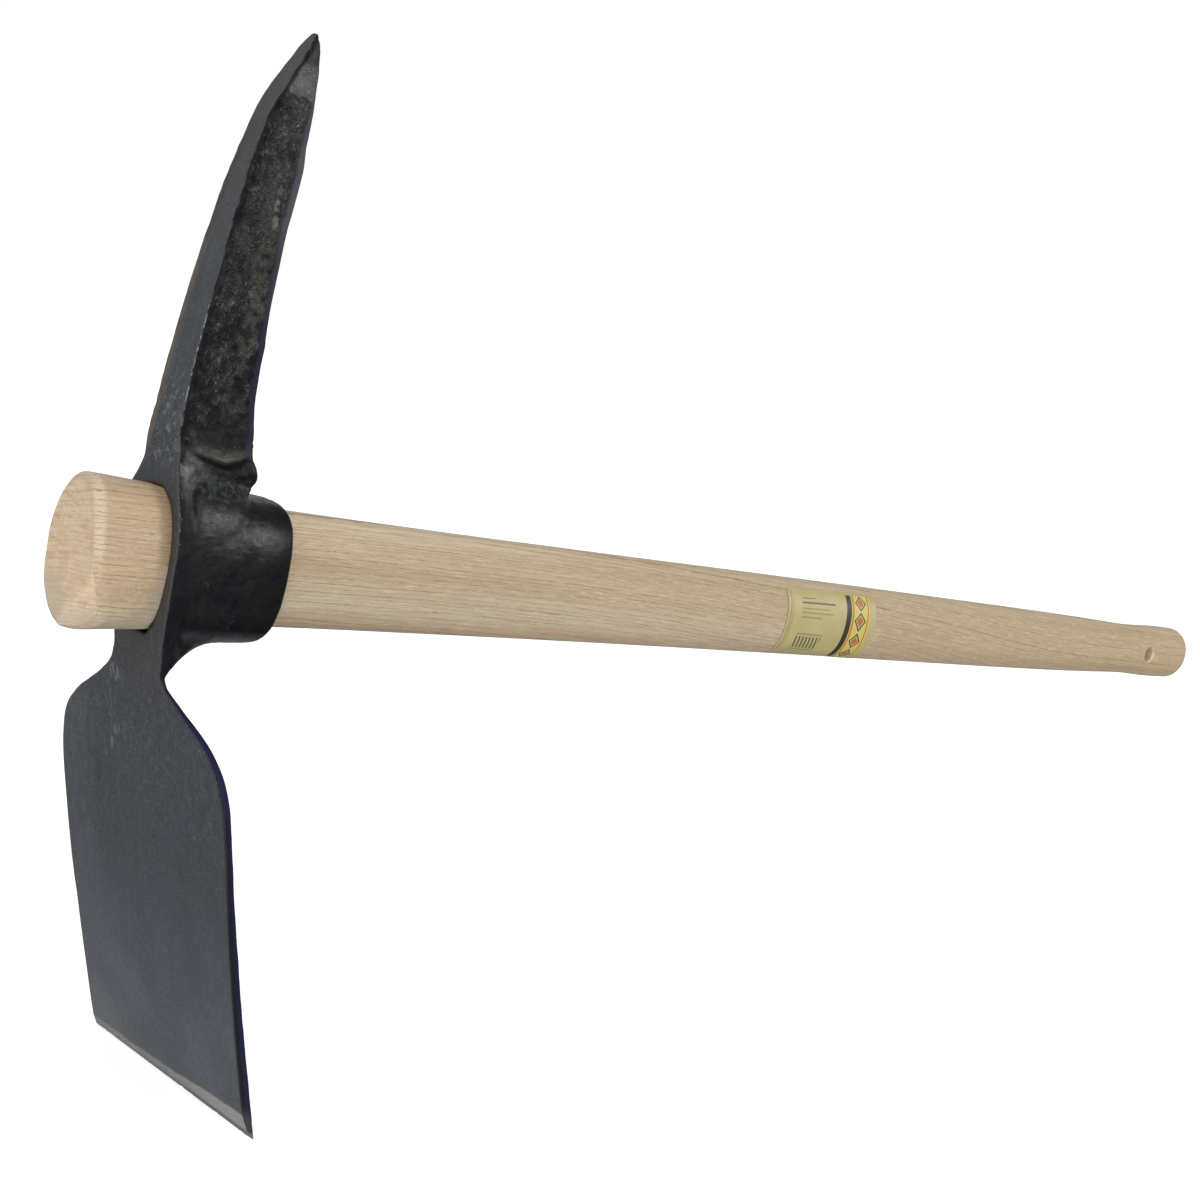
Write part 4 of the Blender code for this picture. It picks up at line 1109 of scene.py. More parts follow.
    # front: slate-blue skin with faint vertical streaks and small stains, paler towards the edge
    cloud = t.noise(p, 26.0, 3.0, 0.55)
    streak = t.noise(t.scaled(p, (1.0, 1.0, 0.09)), 330.0, 3.0, 0.6)
    mottle = t.noise(p, 330.0, 3.0, 0.68)
    lower = t.band(t.math("MULTIPLY_ADD", t.noise(p, 18.0, 2.0), 0.06, z), -0.10, -0.21)
    slate = t.mix(lower, (0.034, 0.038, 0.044), (0.074, 0.085, 0.092))
    slate = t.mix(t.band(y, 0.034, 0.064, 0.0, 0.50), slate, (0.070, 0.077, 0.084))
    slate = t.mix(t.math("MULTIPLY", t.band(z, -0.092, -0.058), t.band(z, -0.020, -0.036, 0.0, 0.28)), slate, (0.020, 0.022, 0.026))
    slate = t.mix(t.band(cloud, 0.36, 0.62, 0.30, 0.0), slate, (0.030, 0.033, 0.038))
    worked = t.band(z, -0.190, -0.070, 0.34, 1.0)
    slate = t.mix(t.math("MULTIPLY", worked, t.band(streak, 0.50, 0.70, 0.0, 0.55)), slate, (0.027, 0.030, 0.034))
    slate = t.mix(t.math("MULTIPLY", worked, t.band(streak, 0.46, 0.30, 0.0, 0.30)), slate, (0.080, 0.086, 0.092))
    slate = t.mix(t.math("MULTIPLY", worked, t.band(mottle, 0.53, 0.70, 0.0, 0.36)), slate, (0.095, 0.102, 0.106))
    slate = t.mix(t.math("MULTIPLY", worked, t.band(mottle, 0.45, 0.32, 0.0, 0.50)), slate, (0.018, 0.020, 0.022))
    corner = t.math("MULTIPLY", t.band(y, 0.015, 0.060), t.band(z, -0.225, -0.258))
    slate = t.mix(t.math("MULTIPLY", corner, 0.66), slate, (0.114, 0.119, 0.118))
    scrape = t.math("MULTIPLY", t.band(t.noise(t.scaled(p, (1.0, 1.0, 0.16)), 620.0, 2.0), 0.60, 0.70),
                    t.math("MULTIPLY", t.band(z, -0.112, -0.086), t.band(z, -0.052, -0.066)))
    slate = t.mix(t.math("MULTIPLY", scrape, 0.20), slate, (0.150, 0.156, 0.160))
    # spots and short scratches on the front at the foot of the pick
    foot = t.math("MULTIPLY", t.band(z, 0.040, 0.048), t.band(z, 0.092, 0.064))
    slate = t.mix(t.math("MULTIPLY", foot, t.band(t.noise(p, 210.0, 3.0, 0.6), 0.42, 0.62, 0.0, 0.75)), slate, (0.058, 0.070, 0.074))
    slate = t.mix(t.math("MULTIPLY", foot, t.band(t.noise(p, 340.0, 3.0, 0.6), 0.46, 0.34, 0.0, 0.75)), slate, (0.020, 0.022, 0.024))
    worn_spot = t.math("MULTIPLY", foot, t.band(t.noise(p, 330.0, 2.0, 0.6), 0.57, 0.66))
    slate = t.mix(t.math("MULTIPLY", worn_spot, 0.70), slate, (0.135, 0.146, 0.150))
    scratch = t.math("MULTIPLY", foot, t.band(t.noise(t.scaled(p, (1.0, 0.25, 1.0)), 900.0, 2.0, 0.6), 0.64, 0.70))
    slate = t.mix(t.math("MULTIPLY", scratch, 0.55), slate, (0.210, 0.205, 0.200))
    aloft = t.band(z, 0.085, 0.130)
    slate = t.mix(t.math("MULTIPLY", aloft, t.band(t.noise(p, 64.0, 3.0), 0.42, 0.62, 0.0, 0.34)), slate, (0.046, 0.060, 0.066))
    slate = t.mix(t.math("MULTIPLY", aloft, t.band(t.noise(p, 92.0, 3.0), 0.46, 0.64, 0.0, 0.30)), slate, (0.050, 0.043, 0.042))
    slate = t.mix(t.math("MULTIPLY", aloft, 0.22), slate, (0.048, 0.043, 0.040))
    throat = t.math("MULTIPLY", t.band(z, -0.072, -0.060), t.band(z, -0.034, -0.042))
    slate = t.mix(t.math("MULTIPLY", throat, t.band(t.noise(p, 170.0, 3.0, 0.6), 0.42, 0.62, 0.05, 0.55)), slate, (0.040, 0.032, 0.030))
    slate = t.mix(t.math("MULTIPLY", throat, t.band(t.noise(p, 620.0, 3.0, 0.65), 0.54, 0.68, 0.0, 0.40)), slate, (0.105, 0.100, 0.096))
    pepper = t.noise(p, 850.0, 3.0, 0.7)
    slate = t.mix(t.band(pepper, 0.52, 0.68, 0.0, 0.34), slate, (0.098, 0.104, 0.106))
    slate = t.mix(t.band(pepper, 0.48, 0.34, 0.0, 0.44), slate, (0.018, 0.019, 0.021))
    stain = t.noise(t.scaled(p, (1.0, 1.0, 0.14)), 120.0, 3.0, 0.6)
    slate = t.mix(t.math("MULTIPLY", t.band(z, -0.225, -0.150), t.band(stain, 0.54, 0.70, 0.0, 0.38)), slate, (0.024, 0.027, 0.029))
    # a rubbed place and a few scratches under the far shoulder, a darker streak, specks near the edge
    for y0, z0, ry, rz, tone_there, share in SPOTS:
        ragged = t.band(t.noise(t.scaled(p, (1.0, 1.0, 0.35)), 520.0, 3.0, 0.65), 0.42, 0.60)
        slate = t.mix(t.math("MULTIPLY", t.math("MULTIPLY", spot(y, z, y0, z0, ry, rz), ragged), share), slate, tone_there)
    slate = t.mix(t.math("MULTIPLY", brown, t.band(mottle, 0.25, 0.65, 0.45, 0.95)), slate, (0.056, 0.040, 0.031))
    surface = t.mix(front, scale, slate)
    rusty = t.band(t.noise(t.scaled(p, (1.0, 1.0, 0.4)), 260.0, 3.0, 0.6), 0.34, 0.58, 0.35, 1.0)
    fringe = t.mix(t.band(z, 0.128, 0.160), (0.092, 0.074, 0.055), (0.036, 0.028, 0.027))
    fringe = t.mix(t.band(z, 0.192, 0.212), fringe, (0.043, 0.035, 0.031))
    surface = t.mix(t.math("MULTIPLY", far_edge, rusty), surface, fringe)
    # rust brown at the eye's dished mouth; painted shadow, near black, in the gap under the wood
    rim_rust_and_shadow = t.mix(t.band(z, -0.024, -0.031), (0.045, 0.034, 0.027), (0.0050, 0.0048, 0.0045))
    surface = t.mix(t.band(rim, 0.15, 0.75), surface, rim_rust_and_shadow)
    # painted shade: near black inside the bore
    surface = t.mix(t.band(bore_shade, 0.0, 0.8), surface, (0.006, 0.005, 0.004))

    # ground strip at the cutting edge, with a thin ochre border
    grind = t.noise(t.scaled(p, (1.0, 0.30, 1.0)), 900.0, 2.0, 0.6)
    bright = t.mix(t.band(grind, 0.35, 0.70), (0.20, 0.195, 0.18), (0.31, 0.30, 0.28))
    bright = t.mix(t.band(y, 0.02, -0.06, 0.0, 0.6), bright, (0.42, 0.41, 0.38))
    shore = t.math("MULTIPLY_ADD", t.noise(p, 240.0, 2.0), 1.6, above)
    ground = t.math("MULTIPLY", t.band(shore, 1.35, 0.30), t.band(behind, 3.4, 2.6))
    surface = t.mix(t.math("MULTIPLY", t.band(shore, 2.2, 0.9), t.math("MULTIPLY", front, 0.8)), surface, (0.128, 0.112, 0.080))
    surface = t.mix(ground, surface, bright)
    surface = t.mix(t.math("MULTIPLY", t.band(lip, 0.5, -0.5), 0.9), surface, (0.138, 0.136, 0.132))
    # worn arris: a thin line above the eye, a few specks beside it
    rub = t.noise(t.scaled(p, (1.0, 1.0, 0.6)), 700.0, 2.0, 0.7)
    line = t.math("MULTIPLY", t.band(across, -0.50, -0.26), t.band(behind, 0.66, 0.38))
    high = t.math("MULTIPLY", t.band(z, 0.066, 0.080), t.band(z, 0.130, 0.110))
    near = t.math("MULTIPLY", t.band(z, 0.002, 0.010), t.band(z, 0.034, 0.026))
    amount = t.math("MULTIPLY_ADD", near, t.band(rub, 0.58, 0.64), t.math("MULTIPLY", high, t.band(rub, 0.47, 0.59)))
    worn = t.math("MULTIPLY", line, amount, clamp=True)
    surface = t.mix(worn, surface, (0.21, 0.245, 0.260))
    dots = t.math("MULTIPLY", t.band(t.noise(p, 950.0, 1.0, 0.5), 0.67, 0.73), t.math("MULTIPLY", t.band(behind, 0.6, 1.0), t.band(behind, 3.2, 2.4)))
    dots = t.math("MULTIPLY", dots, t.math("MULTIPLY", t.band(z, -0.004, 0.006), t.band(z, 0.040, 0.032)))
    surface = t.mix(t.math("MULTIPLY", dots, 0.55), surface, (0.240, 0.255, 0.260))
    t.link(surface, t.shader.inputs["Base Color"])

    polish = t.blend(eye, t.band(fine, 0.3, 0.7, 0.30, 0.48), t.band(fine, 0.3, 0.7, 0.24, 0.38))
    r = t.blend(front, polish, t.band(mottle, 0.3, 0.7, 0.42, 0.56))
    r = t.blend(soot, r, 0.60)
    shine = t.math("MAXIMUM", ground, worn, clamp=True)
    t.link(t.blend(shine, r, 0.36), t.shader.inputs["Roughness"])
    t.link(t.math("MULTIPLY", shine, 0.40), t.shader.inputs["Metallic"])
    level = t.blend(eye, t.band(fine, 0.3, 0.7, 0.50, 0.40),
                    t.math("MULTIPLY", t.band(t.noise(p, 75.0, 3.0, 0.6), 0.34, 0.62, 0.20, 0.33),
                           t.band(place.outputs[0], 0.080, 0.098, 1.0, 0.42)))
    t.link(t.blend(soot, level, 0.10), t.shader.inputs["Specular IOR Level"])

    grain = t.noise(p, 1050.0, 4.0, 0.65)
    soft = t.noise(p, 360.0, 3.0, 0.6)
    tool = t.noise(t.scaled(p, (0.35, 1.0, 1.0)), 620.0, 3.0, 0.6, 1.5)
    height = t.math("MULTIPLY_ADD", soft, 0.8, t.math("MULTIPLY", grain, t.band(eye, 0.0, 1.0, 0.45, 0.20)))
    height = t.math("MULTIPLY_ADD", vein_glints, 0.30, height)
    height = t.math("MULTIPLY_ADD", t.math("MULTIPLY", wrinkle, wrinkled), 0.95, height)
    height = t.math("MULTIPLY_ADD", t.math("MULTIPLY", eye, tool), 0.6, height)
    amount = t.math("MULTIPLY_ADD", rough, 0.90, t.band(eye, 0.0, 1.0, 0.20, 0.075))
    height = t.math("MULTIPLY", height, t.blend(front, amount, 0.10))
    t.link(t.bump(height, 1.0, 0.0018), t.shader.inputs["Normal"])
    return t.material


def wood_material():
    t = Tree("ash_wood_oiled")
    fibre = t.attribute("fibre").outputs["Vector"]
    ring = t.attribute("ring").outputs["Fac"]
    ends, band, seam_shade = t.parts("marks")
    tan, grey, warm = t.parts("tint")
    p = t.coordinates()

    def grain(stretch, scale, detail=2.0, rough=0.6):
        return t.noise(t.scaled(fibre, (stretch, 1.0, 1.0)), scale, detail, rough)

    # growth rings: each has its own strength, its porous early part fades into dense wood
    shake = t.math("MULTIPLY_ADD", grain(0.12, 560.0), 0.50, ring)
    shake = t.math("MULTIPLY_ADD", grain(0.30, 1500.0), 0.22, shake)
    frac = t.math("FRACT", shake)
    whole = t.math("FLOOR", shake)
    chance = t.node("ShaderNodeTexWhiteNoise", noise_dimensions="1D")
    t.link(whole, chance.inputs["W"])
    strength = t.band(chance.outputs["Value"], 0.0, 1.0, 0.25, 1.0)
    early = t.math("MULTIPLY", t.band(frac, 0.0, 0.06), t.band(frac, 0.36, 0.08))
    second = t.math("FRACT", t.math("MULTIPLY_ADD", shake, 2.63, 0.4))
    hair = t.math("MULTIPLY", t.band(second, 0.0, 0.10), t.band(second, 0.50, 0.14))
    hair = t.math("MULTIPLY", hair, t.band(grain(0.020, 300.0), 0.38, 0.58))
    broken = t.band(grain(0.06, 640.0), 0.36, 0.60, 0.35, 1.0)
    line = t.math("MULTIPLY", t.math("MULTIPLY", early, strength), broken, clamp=True)
    late = t.math("MULTIPLY", t.band(frac, 0.55, 0.90), t.band(frac, 1.0, 0.93))

    # vessels: short dark dashes, most of them in the early part
    dash = grain(0.11, 2900.0, 3.0, 0.7)
    pore = t.math("MULTIPLY", t.band(dash, 0.52, 0.64), t.math("MULTIPLY_ADD", early, 0.80, 0.20))
    light = t.band(grain(0.05, 1700.0, 2.0, 0.6), 0.52, 0.68)
    threads = grain(0.016, 1250.0, 3.0, 0.65)

    # broad zones: honey, pinkish and greyish
    zone_a = grain(0.022, 85.0)
    zone_b = t.noise(t.scaled(fibre, (0.035, 1.0, 1.0)), 120.0, 2.0, 0.5)
    pale = t.mix(t.band(zone_a, 0.36, 0.64), WOOD_PALE, WOOD_PINK)
    pale = t.mix(t.band(zone_b, 0.42, 0.66, 0.0, 0.75), pale, WOOD_GREY)
    along = t.node("ShaderNodeSeparateXYZ")
    t.link(fibre, along.inputs[0])
    pale = t.mix(t.band(along.outputs[0], 0.18, 0.55, 0.0, 0.30), pale, WOOD_TAN)
    pale = t.mix(t.band(along.outputs[0], 0.55, 0.90, 0.0, 0.22), pale, WOOD_TAN)
    pale = t.mix(t.band(along.outputs[0], 0.66, 0.86, 0.0, 0.30), pale, WOOD_WHEAT)
    # painted shade and painted light on the shaft: darker along its top and where its side faces the lamps, paler
    # underneath towards the grip, a painted reflection along the top edge
    level = t.node("ShaderNodeSeparateXYZ")
    t.link(p, level.inputs[0])
    butt = t.band(along.outputs[0], 0.050, 0.025)
    pale = t.mix(t.math("MULTIPLY", butt, t.band(level.outputs[2], -0.026, -0.012, 0.22, 0.62)), pale, WOOD_HONEY)
    pale = t.mix(t.math("MULTIPLY", butt, t.band(level.outputs[2], -0.014, -0.004, 0.0, 0.16)), pale, WOOD_TAN)
    # painted light: paler underneath the butt
    pale = t.mix(t.math("MULTIPLY", butt, t.band(level.outputs[2], -0.014, -0.024, 0.0, 0.55)), pale, WOOD_LIGHT)
    pale = t.mix(t.math("MULTIPLY", butt, t.math("MULTIPLY", t.band(level.outputs[2], -0.016, -0.010), t.band(level.outputs[2], 0.006, -0.002, 0.0, 0.12))), pale, WOOD_TAN)
    # painted shade: a darker band along the middle of the shaft's side
    middle = t.math("MULTIPLY", t.band(level.outputs[2], -0.014, -0.006), t.band(level.outputs[2], 0.014, 0.007))
    pale = t.mix(t.math("MULTIPLY", middle, t.math("MULTIPLY", t.band(along.outputs[0], 0.075, 0.100),
                                                   t.band(along.outputs[0], 0.36, 0.26, 0.0, 0.42))), pale, WOOD_DULL_SHADE)
    pale = t.mix(t.math("MULTIPLY", t.band(level.outputs[2], -0.016, -0.009), t.math("MULTIPLY", t.band(level.outputs[2], 0.004, -0.002),
                 t.math("MULTIPLY", t.band(along.outputs[0], 0.30, 0.38), t.band(along.outputs[0], 0.62, 0.52, 0.0, 0.30)))), pale,
                 (0.448, 0.412, 0.328))
    # painted shade along the top and painted light underneath, towards the grip
    further = t.band(along.outputs[0], 0.20, 0.40)
    pale = t.mix(t.math("MULTIPLY", further, t.band(level.outputs[2], -0.006, 0.010, 0.0, 0.58)), pale, WOOD_DULL_SHADE)
    pale = t.mix(t.math("MULTIPLY", further, t.band(t.math("MULTIPLY_ADD", along.outputs[0], -0.009, level.outputs[2]), -0.0225, -0.0275, 0.0, 0.50)), pale, WOOD_LIGHT)
    # painted light along the top of the shaft near the eye
    close = t.math("MULTIPLY", t.band(along.outputs[0], 0.24, 0.14), t.band(along.outputs[0], 0.060, 0.090))
    pale = t.mix(t.math("MULTIPLY", close, t.band(level.outputs[2], 0.008, 0.020, 0.0, 0.45)), pale, WOOD_LIGHT)
    out_of_eye = t.band(along.outputs[0], 0.080, 0.100)
    # painted shade where the side of the shaft faces the lamps
    facing = t.math("MULTIPLY", t.band(level.outputs[2], 0.001, 0.007), t.band(level.outputs[2], 0.022, 0.013))
    pale = t.mix(t.math("MULTIPLY", facing, t.math("MULTIPLY", out_of_eye, t.band(along.outputs[0], 0.34, 0.20, 0.0, 0.60))), pale, WOOD_DULL_SHADE)
    # painted light: a greyer band low on the side of the shaft
    greyed_light = t.math("MULTIPLY", t.band(level.outputs[2], -0.020, -0.014), t.band(level.outputs[2], 0.0015, -0.0030))
    greyed_light = t.math("MULTIPLY", greyed_light, t.math("MULTIPLY", out_of_eye, t.band(along.outputs[0], 0.62, 0.52)))
    pale = t.mix(t.math("MULTIPLY", greyed_light, t.band(along.outputs[0], 0.40, 0.30, 0.12, 0.46)), pale, (0.506, 0.470, 0.350))
    brown_side = t.math("MULTIPLY", t.band(level.outputs[2], -0.016, -0.010), t.band(level.outputs[2], 0.006, 0.000))
    brown_side = t.math("MULTIPLY", brown_side, t.math("MULTIPLY", t.band(along.outputs[0], 0.585, 0.610), t.band(along.outputs[0], 0.72, 0.65)))
    pale = t.mix(t.math("MULTIPLY", brown_side, 0.45), pale, WOOD_DULL_SHADE)
    # painted reflection: a pale line along the top edge of the shaft
    crown_reflection = t.band(t.math("MULTIPLY_ADD", along.outputs[0], 0.009, level.outputs[2]), 0.0214, 0.0270)
    pale = t.mix(t.math("MULTIPLY", crown_reflection, t.math("MULTIPLY", out_of_eye, t.band(along.outputs[0], 0.25, 0.40, 0.55, 0.40))), pale,
                 (0.730, 0.640, 0.465))
    # painted shade: tan on the wood next to the eye
    pale = t.mix(t.math("MULTIPLY", tan, 0.85), pale, (0.375, 0.258, 0.150))
    # painted light: grey low on the butt and along its top
    pale = t.mix(t.math("MULTIPLY", grey, 0.8), pale, WOOD_GREY_LIGHT)
    calm = t.band(grey, 0.0, 1.0, 1.0, 0.55)
    colour = t.mix(t.math("MULTIPLY", late, 0.22), pale, WOOD_TAN)
    colour = t.mix(t.math("MULTIPLY", t.math("MULTIPLY", hair, calm), 0.58), colour, WOOD_LINE)
    colour = t.mix(t.math("MULTIPLY", t.math("MULTIPLY", line, calm), 0.92), colour, (0.300, 0.192, 0.108))
    colour = t.mix(t.math("MULTIPLY", t.band(threads, 0.45, 0.60), t.math("MULTIPLY", calm, 0.42)), colour, WOOD_TAN)
    colour = t.mix(t.math("MULTIPLY", pore, 0.34), colour, WOOD_PORE)
    colour = t.mix(t.math("MULTIPLY", light, 0.46), colour, WOOD_LIGHT)

    # end grain is blotchy and warmer, the sloping band is freshly cut and paler
    spots = t.noise(p, 1300.0, 3.0, 0.7)
    blot = t.noise(p, 150.0, 3.0, 0.6)
    wave = t.noise(t.scaled(p, (1.0, 0.22, 1.0)), 420.0, 3.0, 0.6)
    face = t.mix(t.band(blot, 0.42, 0.60), END_PALE, END_WARM)
    face = t.mix(t.band(wave, 0.50, 0.68, 0.0, 0.62), face, END_DARK)
    face = t.mix(t.math("MULTIPLY", line, 0.62), face, END_DARK)
    face = t.mix(t.math("MULTIPLY", hair, 0.25), face, END_DARK)
    face = t.mix(t.band(spots, 0.52, 0.66, 0.0, 0.40), face, END_DARK)
    face = t.mix(t.band(spots, 0.46, 0.32, 0.0, 0.50), face, END_LIGHT)
    # painted light: grey patches on the end face
    face = t.mix(t.math("MULTIPLY", grey, 0.80), face, END_GREY)
    face = t.mix(t.math("MULTIPLY", warm, 0.15), face, END_WARM)
    colour = t.mix(ends, colour, face)
    colour = t.mix(t.math("MULTIPLY", band, t.band(line, 0.30, 0.0, 0.0, 0.42)), colour, (0.670, 0.570, 0.430))
    # painted shade: a darker line where the end face meets the sloping band
    colour = t.mix(t.math("MULTIPLY", seam_shade, 0.50), colour, (0.400, 0.320, 0.220))
    t.link(colour, t.shader.inputs["Base Color"])

    t.link(t.band(line, 0.0, 1.0, 0.52, 0.68), t.shader.inputs["Roughness"])
    t.shader.inputs["Specular IOR Level"].default_value = 0.35
    height = t.math("MULTIPLY_ADD", pore, -0.8, t.math("MULTIPLY", line, -0.45))
    height = t.math("MULTIPLY_ADD", threads, 0.5, height)
    height = t.math("MULTIPLY_ADD", t.math("MULTIPLY", spots, ends), 0.8, height)
    t.link(t.bump(height, 0.6, 0.0004), t.shader.inputs["Normal"])
    return t.material


# -------------------------------------------------------------------- label
LABEL_X0, LABEL_X1 = 495.5, 589.5


def build_label():
    """A paper skin that follows the near side of the shaft, closed and thin."""
    columns, rows = 72, 56
    r = 2.4
    width, height = 94.0, 52.0

    def rounded(u, v):
        a, b = u * width, v * height
        ca, cb = min(a, width - a), min(b, height - b)
        if ca < r and cb < r:
            px, py = r - ca, r - cb
            k = max(px, py) / max(math.hypot(px, py), 1e-9)
            px, py = px * k, py * k
            a = r - px if a < width / 2 else width - r + px
            b = r - py if b < height / 2 else height - r + py
        return a / width, b / height

    verts, uvs = [], []
    for layer in (0.22, 0.40):
        for i in range(columns + 1):
            for j in range(rows + 1):
                u, v = rounded(i / columns, j / rows)
                x = LABEL_X0 + (LABEL_X1 - LABEL_X0) * u
                low = -59.0 + (-72.0 + 59.0) * u
                high = 51.5 + (59.5 - 51.5) * u
                a = math.radians(low + (high - low) * v)
                h = float(np.interp(x, XD, HH)) + layer
                w = float(np.interp(x, XD, HW)) + layer
                n = float(np.interp(x, XD, HN))
                c, s = math.cos(a), math.sin(a)
                y = -abs(c) ** (2.0 / n) * w
                z = math.copysign(abs(s) ** (2.0 / n), s) * h + float(grip_drop(x))
                verts.append((x * MM, y * MM, z * MM))
                uvs.append((u, v))
    size = (columns + 1) * (rows + 1)

    def at(layer, i, j):
        return layer * size + i * (rows + 1) + j

    faces = []
    for i in range(columns):
        for j in range(rows):
            faces.append((at(1, i, j), at(1, i + 1, j), at(1, i + 1, j + 1), at(1, i, j + 1)))
            faces.append((at(0, i, j + 1), at(0, i + 1, j + 1), at(0, i + 1, j), at(0, i, j)))
    border = ([(i, 0) for i in range(columns)] + [(columns, j) for j in range(rows)]
              + [(i, rows) for i in range(columns, 0, -1)] + [(0, j) for j in range(rows, 0, -1)])
    for (i, j), (k, l) in zip(border, border[1:] + border[:1]):
        faces.append((at(0, i, j), at(0, k, l), at(1, k, l), at(1, i, j)))
    mesh = bpy.data.meshes.new("handle_label_print")
    mesh.from_pydata(verts, [], faces)
    layer = mesh.uv_layers.new(name="UVMap")
    for loop in mesh.loops:
        layer.data[loop.index].uv = uvs[loop.vertex_index]
    bm = bmesh.new()
    bm.from_mesh(mesh)
    bmesh.ops.recalc_face_normals(bm, faces=bm.faces)
    bm.to_mesh(mesh)
    bm.free()
    mesh.shade_smooth()
    mesh.set_sharp_from_angle(angle=math.radians(40))
    obj = bpy.data.objects.new("handle_label_print", mesh)
    bpy.context.scene.collection.objects.link(obj)
    return obj


def label_material():
    t = Tree("label_paper_print")
    uv = t.node("ShaderNodeUVMap", uv_map="UVMap").outputs["UV"]
    split = t.node("ShaderNodeSeparateXYZ")
    t.link(uv, split.inputs[0])
    u, v = split.outputs[0], split.outputs[1]
    soft = 0.0022

    def inside(value, lo, hi, blur):
        return t.math("MULTIPLY", t.band(value, lo - blur, lo + blur), t.band(value, hi + blur, hi - blur))

    def block(u0, u1, v0, v1):
        return t.math("MULTIPLY", inside(u, u0, u1, soft), inside(v, v0, v1, soft * 1.8))

    def paint(colour, u0, u1, v0, v1, ink, amount=1.0):
        return t.mix(t.math("MULTIPLY", block(u0, u1, v0, v1), amount), colour, ink)

    p = t.coordinates()
    dark = (0.040, 0.036, 0.028)
    rust = (0.430, 0.130, 0.030)
    gold = (0.560, 0.470, 0.110)
    colour = t.mix(t.band(t.noise(p, 60.0, 2.0), 0.35, 0.65), LABEL_A, LABEL_B)

    # ruled lines of several lengths, set to the left
    for v0, u0, u1, tall, ink in ((0.845, 0.150, 0.300, 0.016, 0.60), (0.775, 0.150, 0.520, 0.026, 0.80),
                                  (0.705, 0.150, 0.455, 0.013, 0.50), (0.650, 0.150, 0.500, 0.013, 0.50),
                                  (0.595, 0.150, 0.380, 0.013, 0.50)):
        colour = paint(colour, u0, u1, v0, v0 + tall, dark, ink)
    # a row of plain slanting strokes
    slant = t.math("FRACT", t.math("MULTIPLY_ADD", v, 3.2, t.math("MULTIPLY", u, 26.0)))
    stroke = t.math("MULTIPLY", t.band(slant, 0.02, 0.10), t.band(slant, 0.52, 0.44))
    colour = t.mix(t.math("MULTIPLY", t.math("MULTIPLY", block(0.150, 0.430, 0.190, 0.380), stroke), 0.85), colour, dark)
    colour = paint(colour, 0.150, 0.430, 0.405, 0.418, dark, 0.6)
    colour = paint(colour, 0.150, 0.430, 0.150, 0.163, dark, 0.6)
    # ruled border on the left
    colour = paint(colour, 0.028, 0.034, 0.03, 0.97, dark, 0.75)
    dots = t.math("SINE", t.math("MULTIPLY", v, 170.0))
    colour = t.mix(t.math("MULTIPLY", t.math("MULTIPLY", block(0.050, 0.060, 0.10, 0.86), t.band(dots, -0.4, 0.2)), 0.7),
                   colour, (0.22, 0.09, 0.035))

    # right: a ladder of lozenges between ruled stripes
    colour = paint(colour, 0.655, 0.925, 0.05, 0.95, gold, 0.9)
    colour = paint(colour, 0.655, 0.712, 0.05, 0.95, dark)
    colour = paint(colour, 0.722, 0.742, 0.05, 0.95, rust, 0.9)
    colour = paint(colour, 0.896, 0.912, 0.05, 0.95, rust, 0.9)
    du = t.math("ABSOLUTE", t.math("MULTIPLY", t.math("SUBTRACT", u, 0.819), 14.2))
    cycle = t.math("FRACT", t.math("MULTIPLY", t.math("SUBTRACT", v, 0.05), 4.4445))
    dv = t.math("ABSOLUTE", t.math("MULTIPLY_ADD", cycle, 2.0, -1.0))
    lozenge = t.math("ADD", du, dv)
    field = block(0.745, 0.893, 0.05, 0.95)
    colour = t.mix(t.math("MULTIPLY", field, t.band(lozenge, 0.97, 0.91)), colour, dark)
    colour = t.mix(t.math("MULTIPLY", field, t.band(lozenge, 0.76, 0.70)), colour, LABEL_B)
    colour = t.mix(t.math("MULTIPLY", field, t.band(lozenge, 0.56, 0.50)), colour, rust)
    t.link(colour, t.shader.inputs["Base Color"])
    t.shader.inputs["Roughness"].default_value = 0.42
    t.shader.inputs["Specular IOR Level"].default_value = 0.4
    fuzz = t.noise(p, 1800.0, 3.0, 0.6)
    t.link(t.bump(fuzz, 0.15, 0.0001), t.shader.inputs["Normal"])
    return t.material


# ------------------------------------------------------------------- pieces
co, quads, masks = build_head()
head = mesh_from_arrays("forged_head_steel", co, quads, masks, sharp=46)
head.data.materials.append(steel_material())
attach(head, "head")
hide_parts("forged_head")

handle = build_handle()
cutter = hole_cutter()
drill = handle.modifiers.new("hanging hole", "BOOLEAN")
drill.operation = "DIFFERENCE"
drill.object = cutter
drill.solver = "EXACT"
bpy.context.view_layer.update()
cut = bpy.data.meshes.new_from_object(handle.evaluated_get(bpy.context.evaluated_depsgraph_get()))
handle.modifiers.clear()
handle.data = cut
bpy.data.objects.remove(cutter)
handle.data.materials.clear()
handle.data.materials.append(wood_material())
_co = np.empty(len(handle.data.vertices) * 3)
handle.data.vertices.foreach_get("co", _co)
_fibre, _ring = grain_coordinates(_co.reshape(-1, 3) / MM)
handle.data.attributes["fibre"].data.foreach_set("vector", _fibre.astype(np.float32).reshape(-1))
handle.data.attributes["ring"].data.foreach_set("value", _ring.astype(np.float32))
handle.data.attributes["tint"].data.foreach_set(
    "vector", wood_tints(_co.reshape(-1, 3) / MM).astype(np.float32).reshape(-1))
handle.data.set_sharp_from_angle(angle=math.radians(50))
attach(handle, "handle")
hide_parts("ash_handle")

label = build_label()
label.data.materials.append(label_material())
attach(label, "handle")
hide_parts("handle_label")


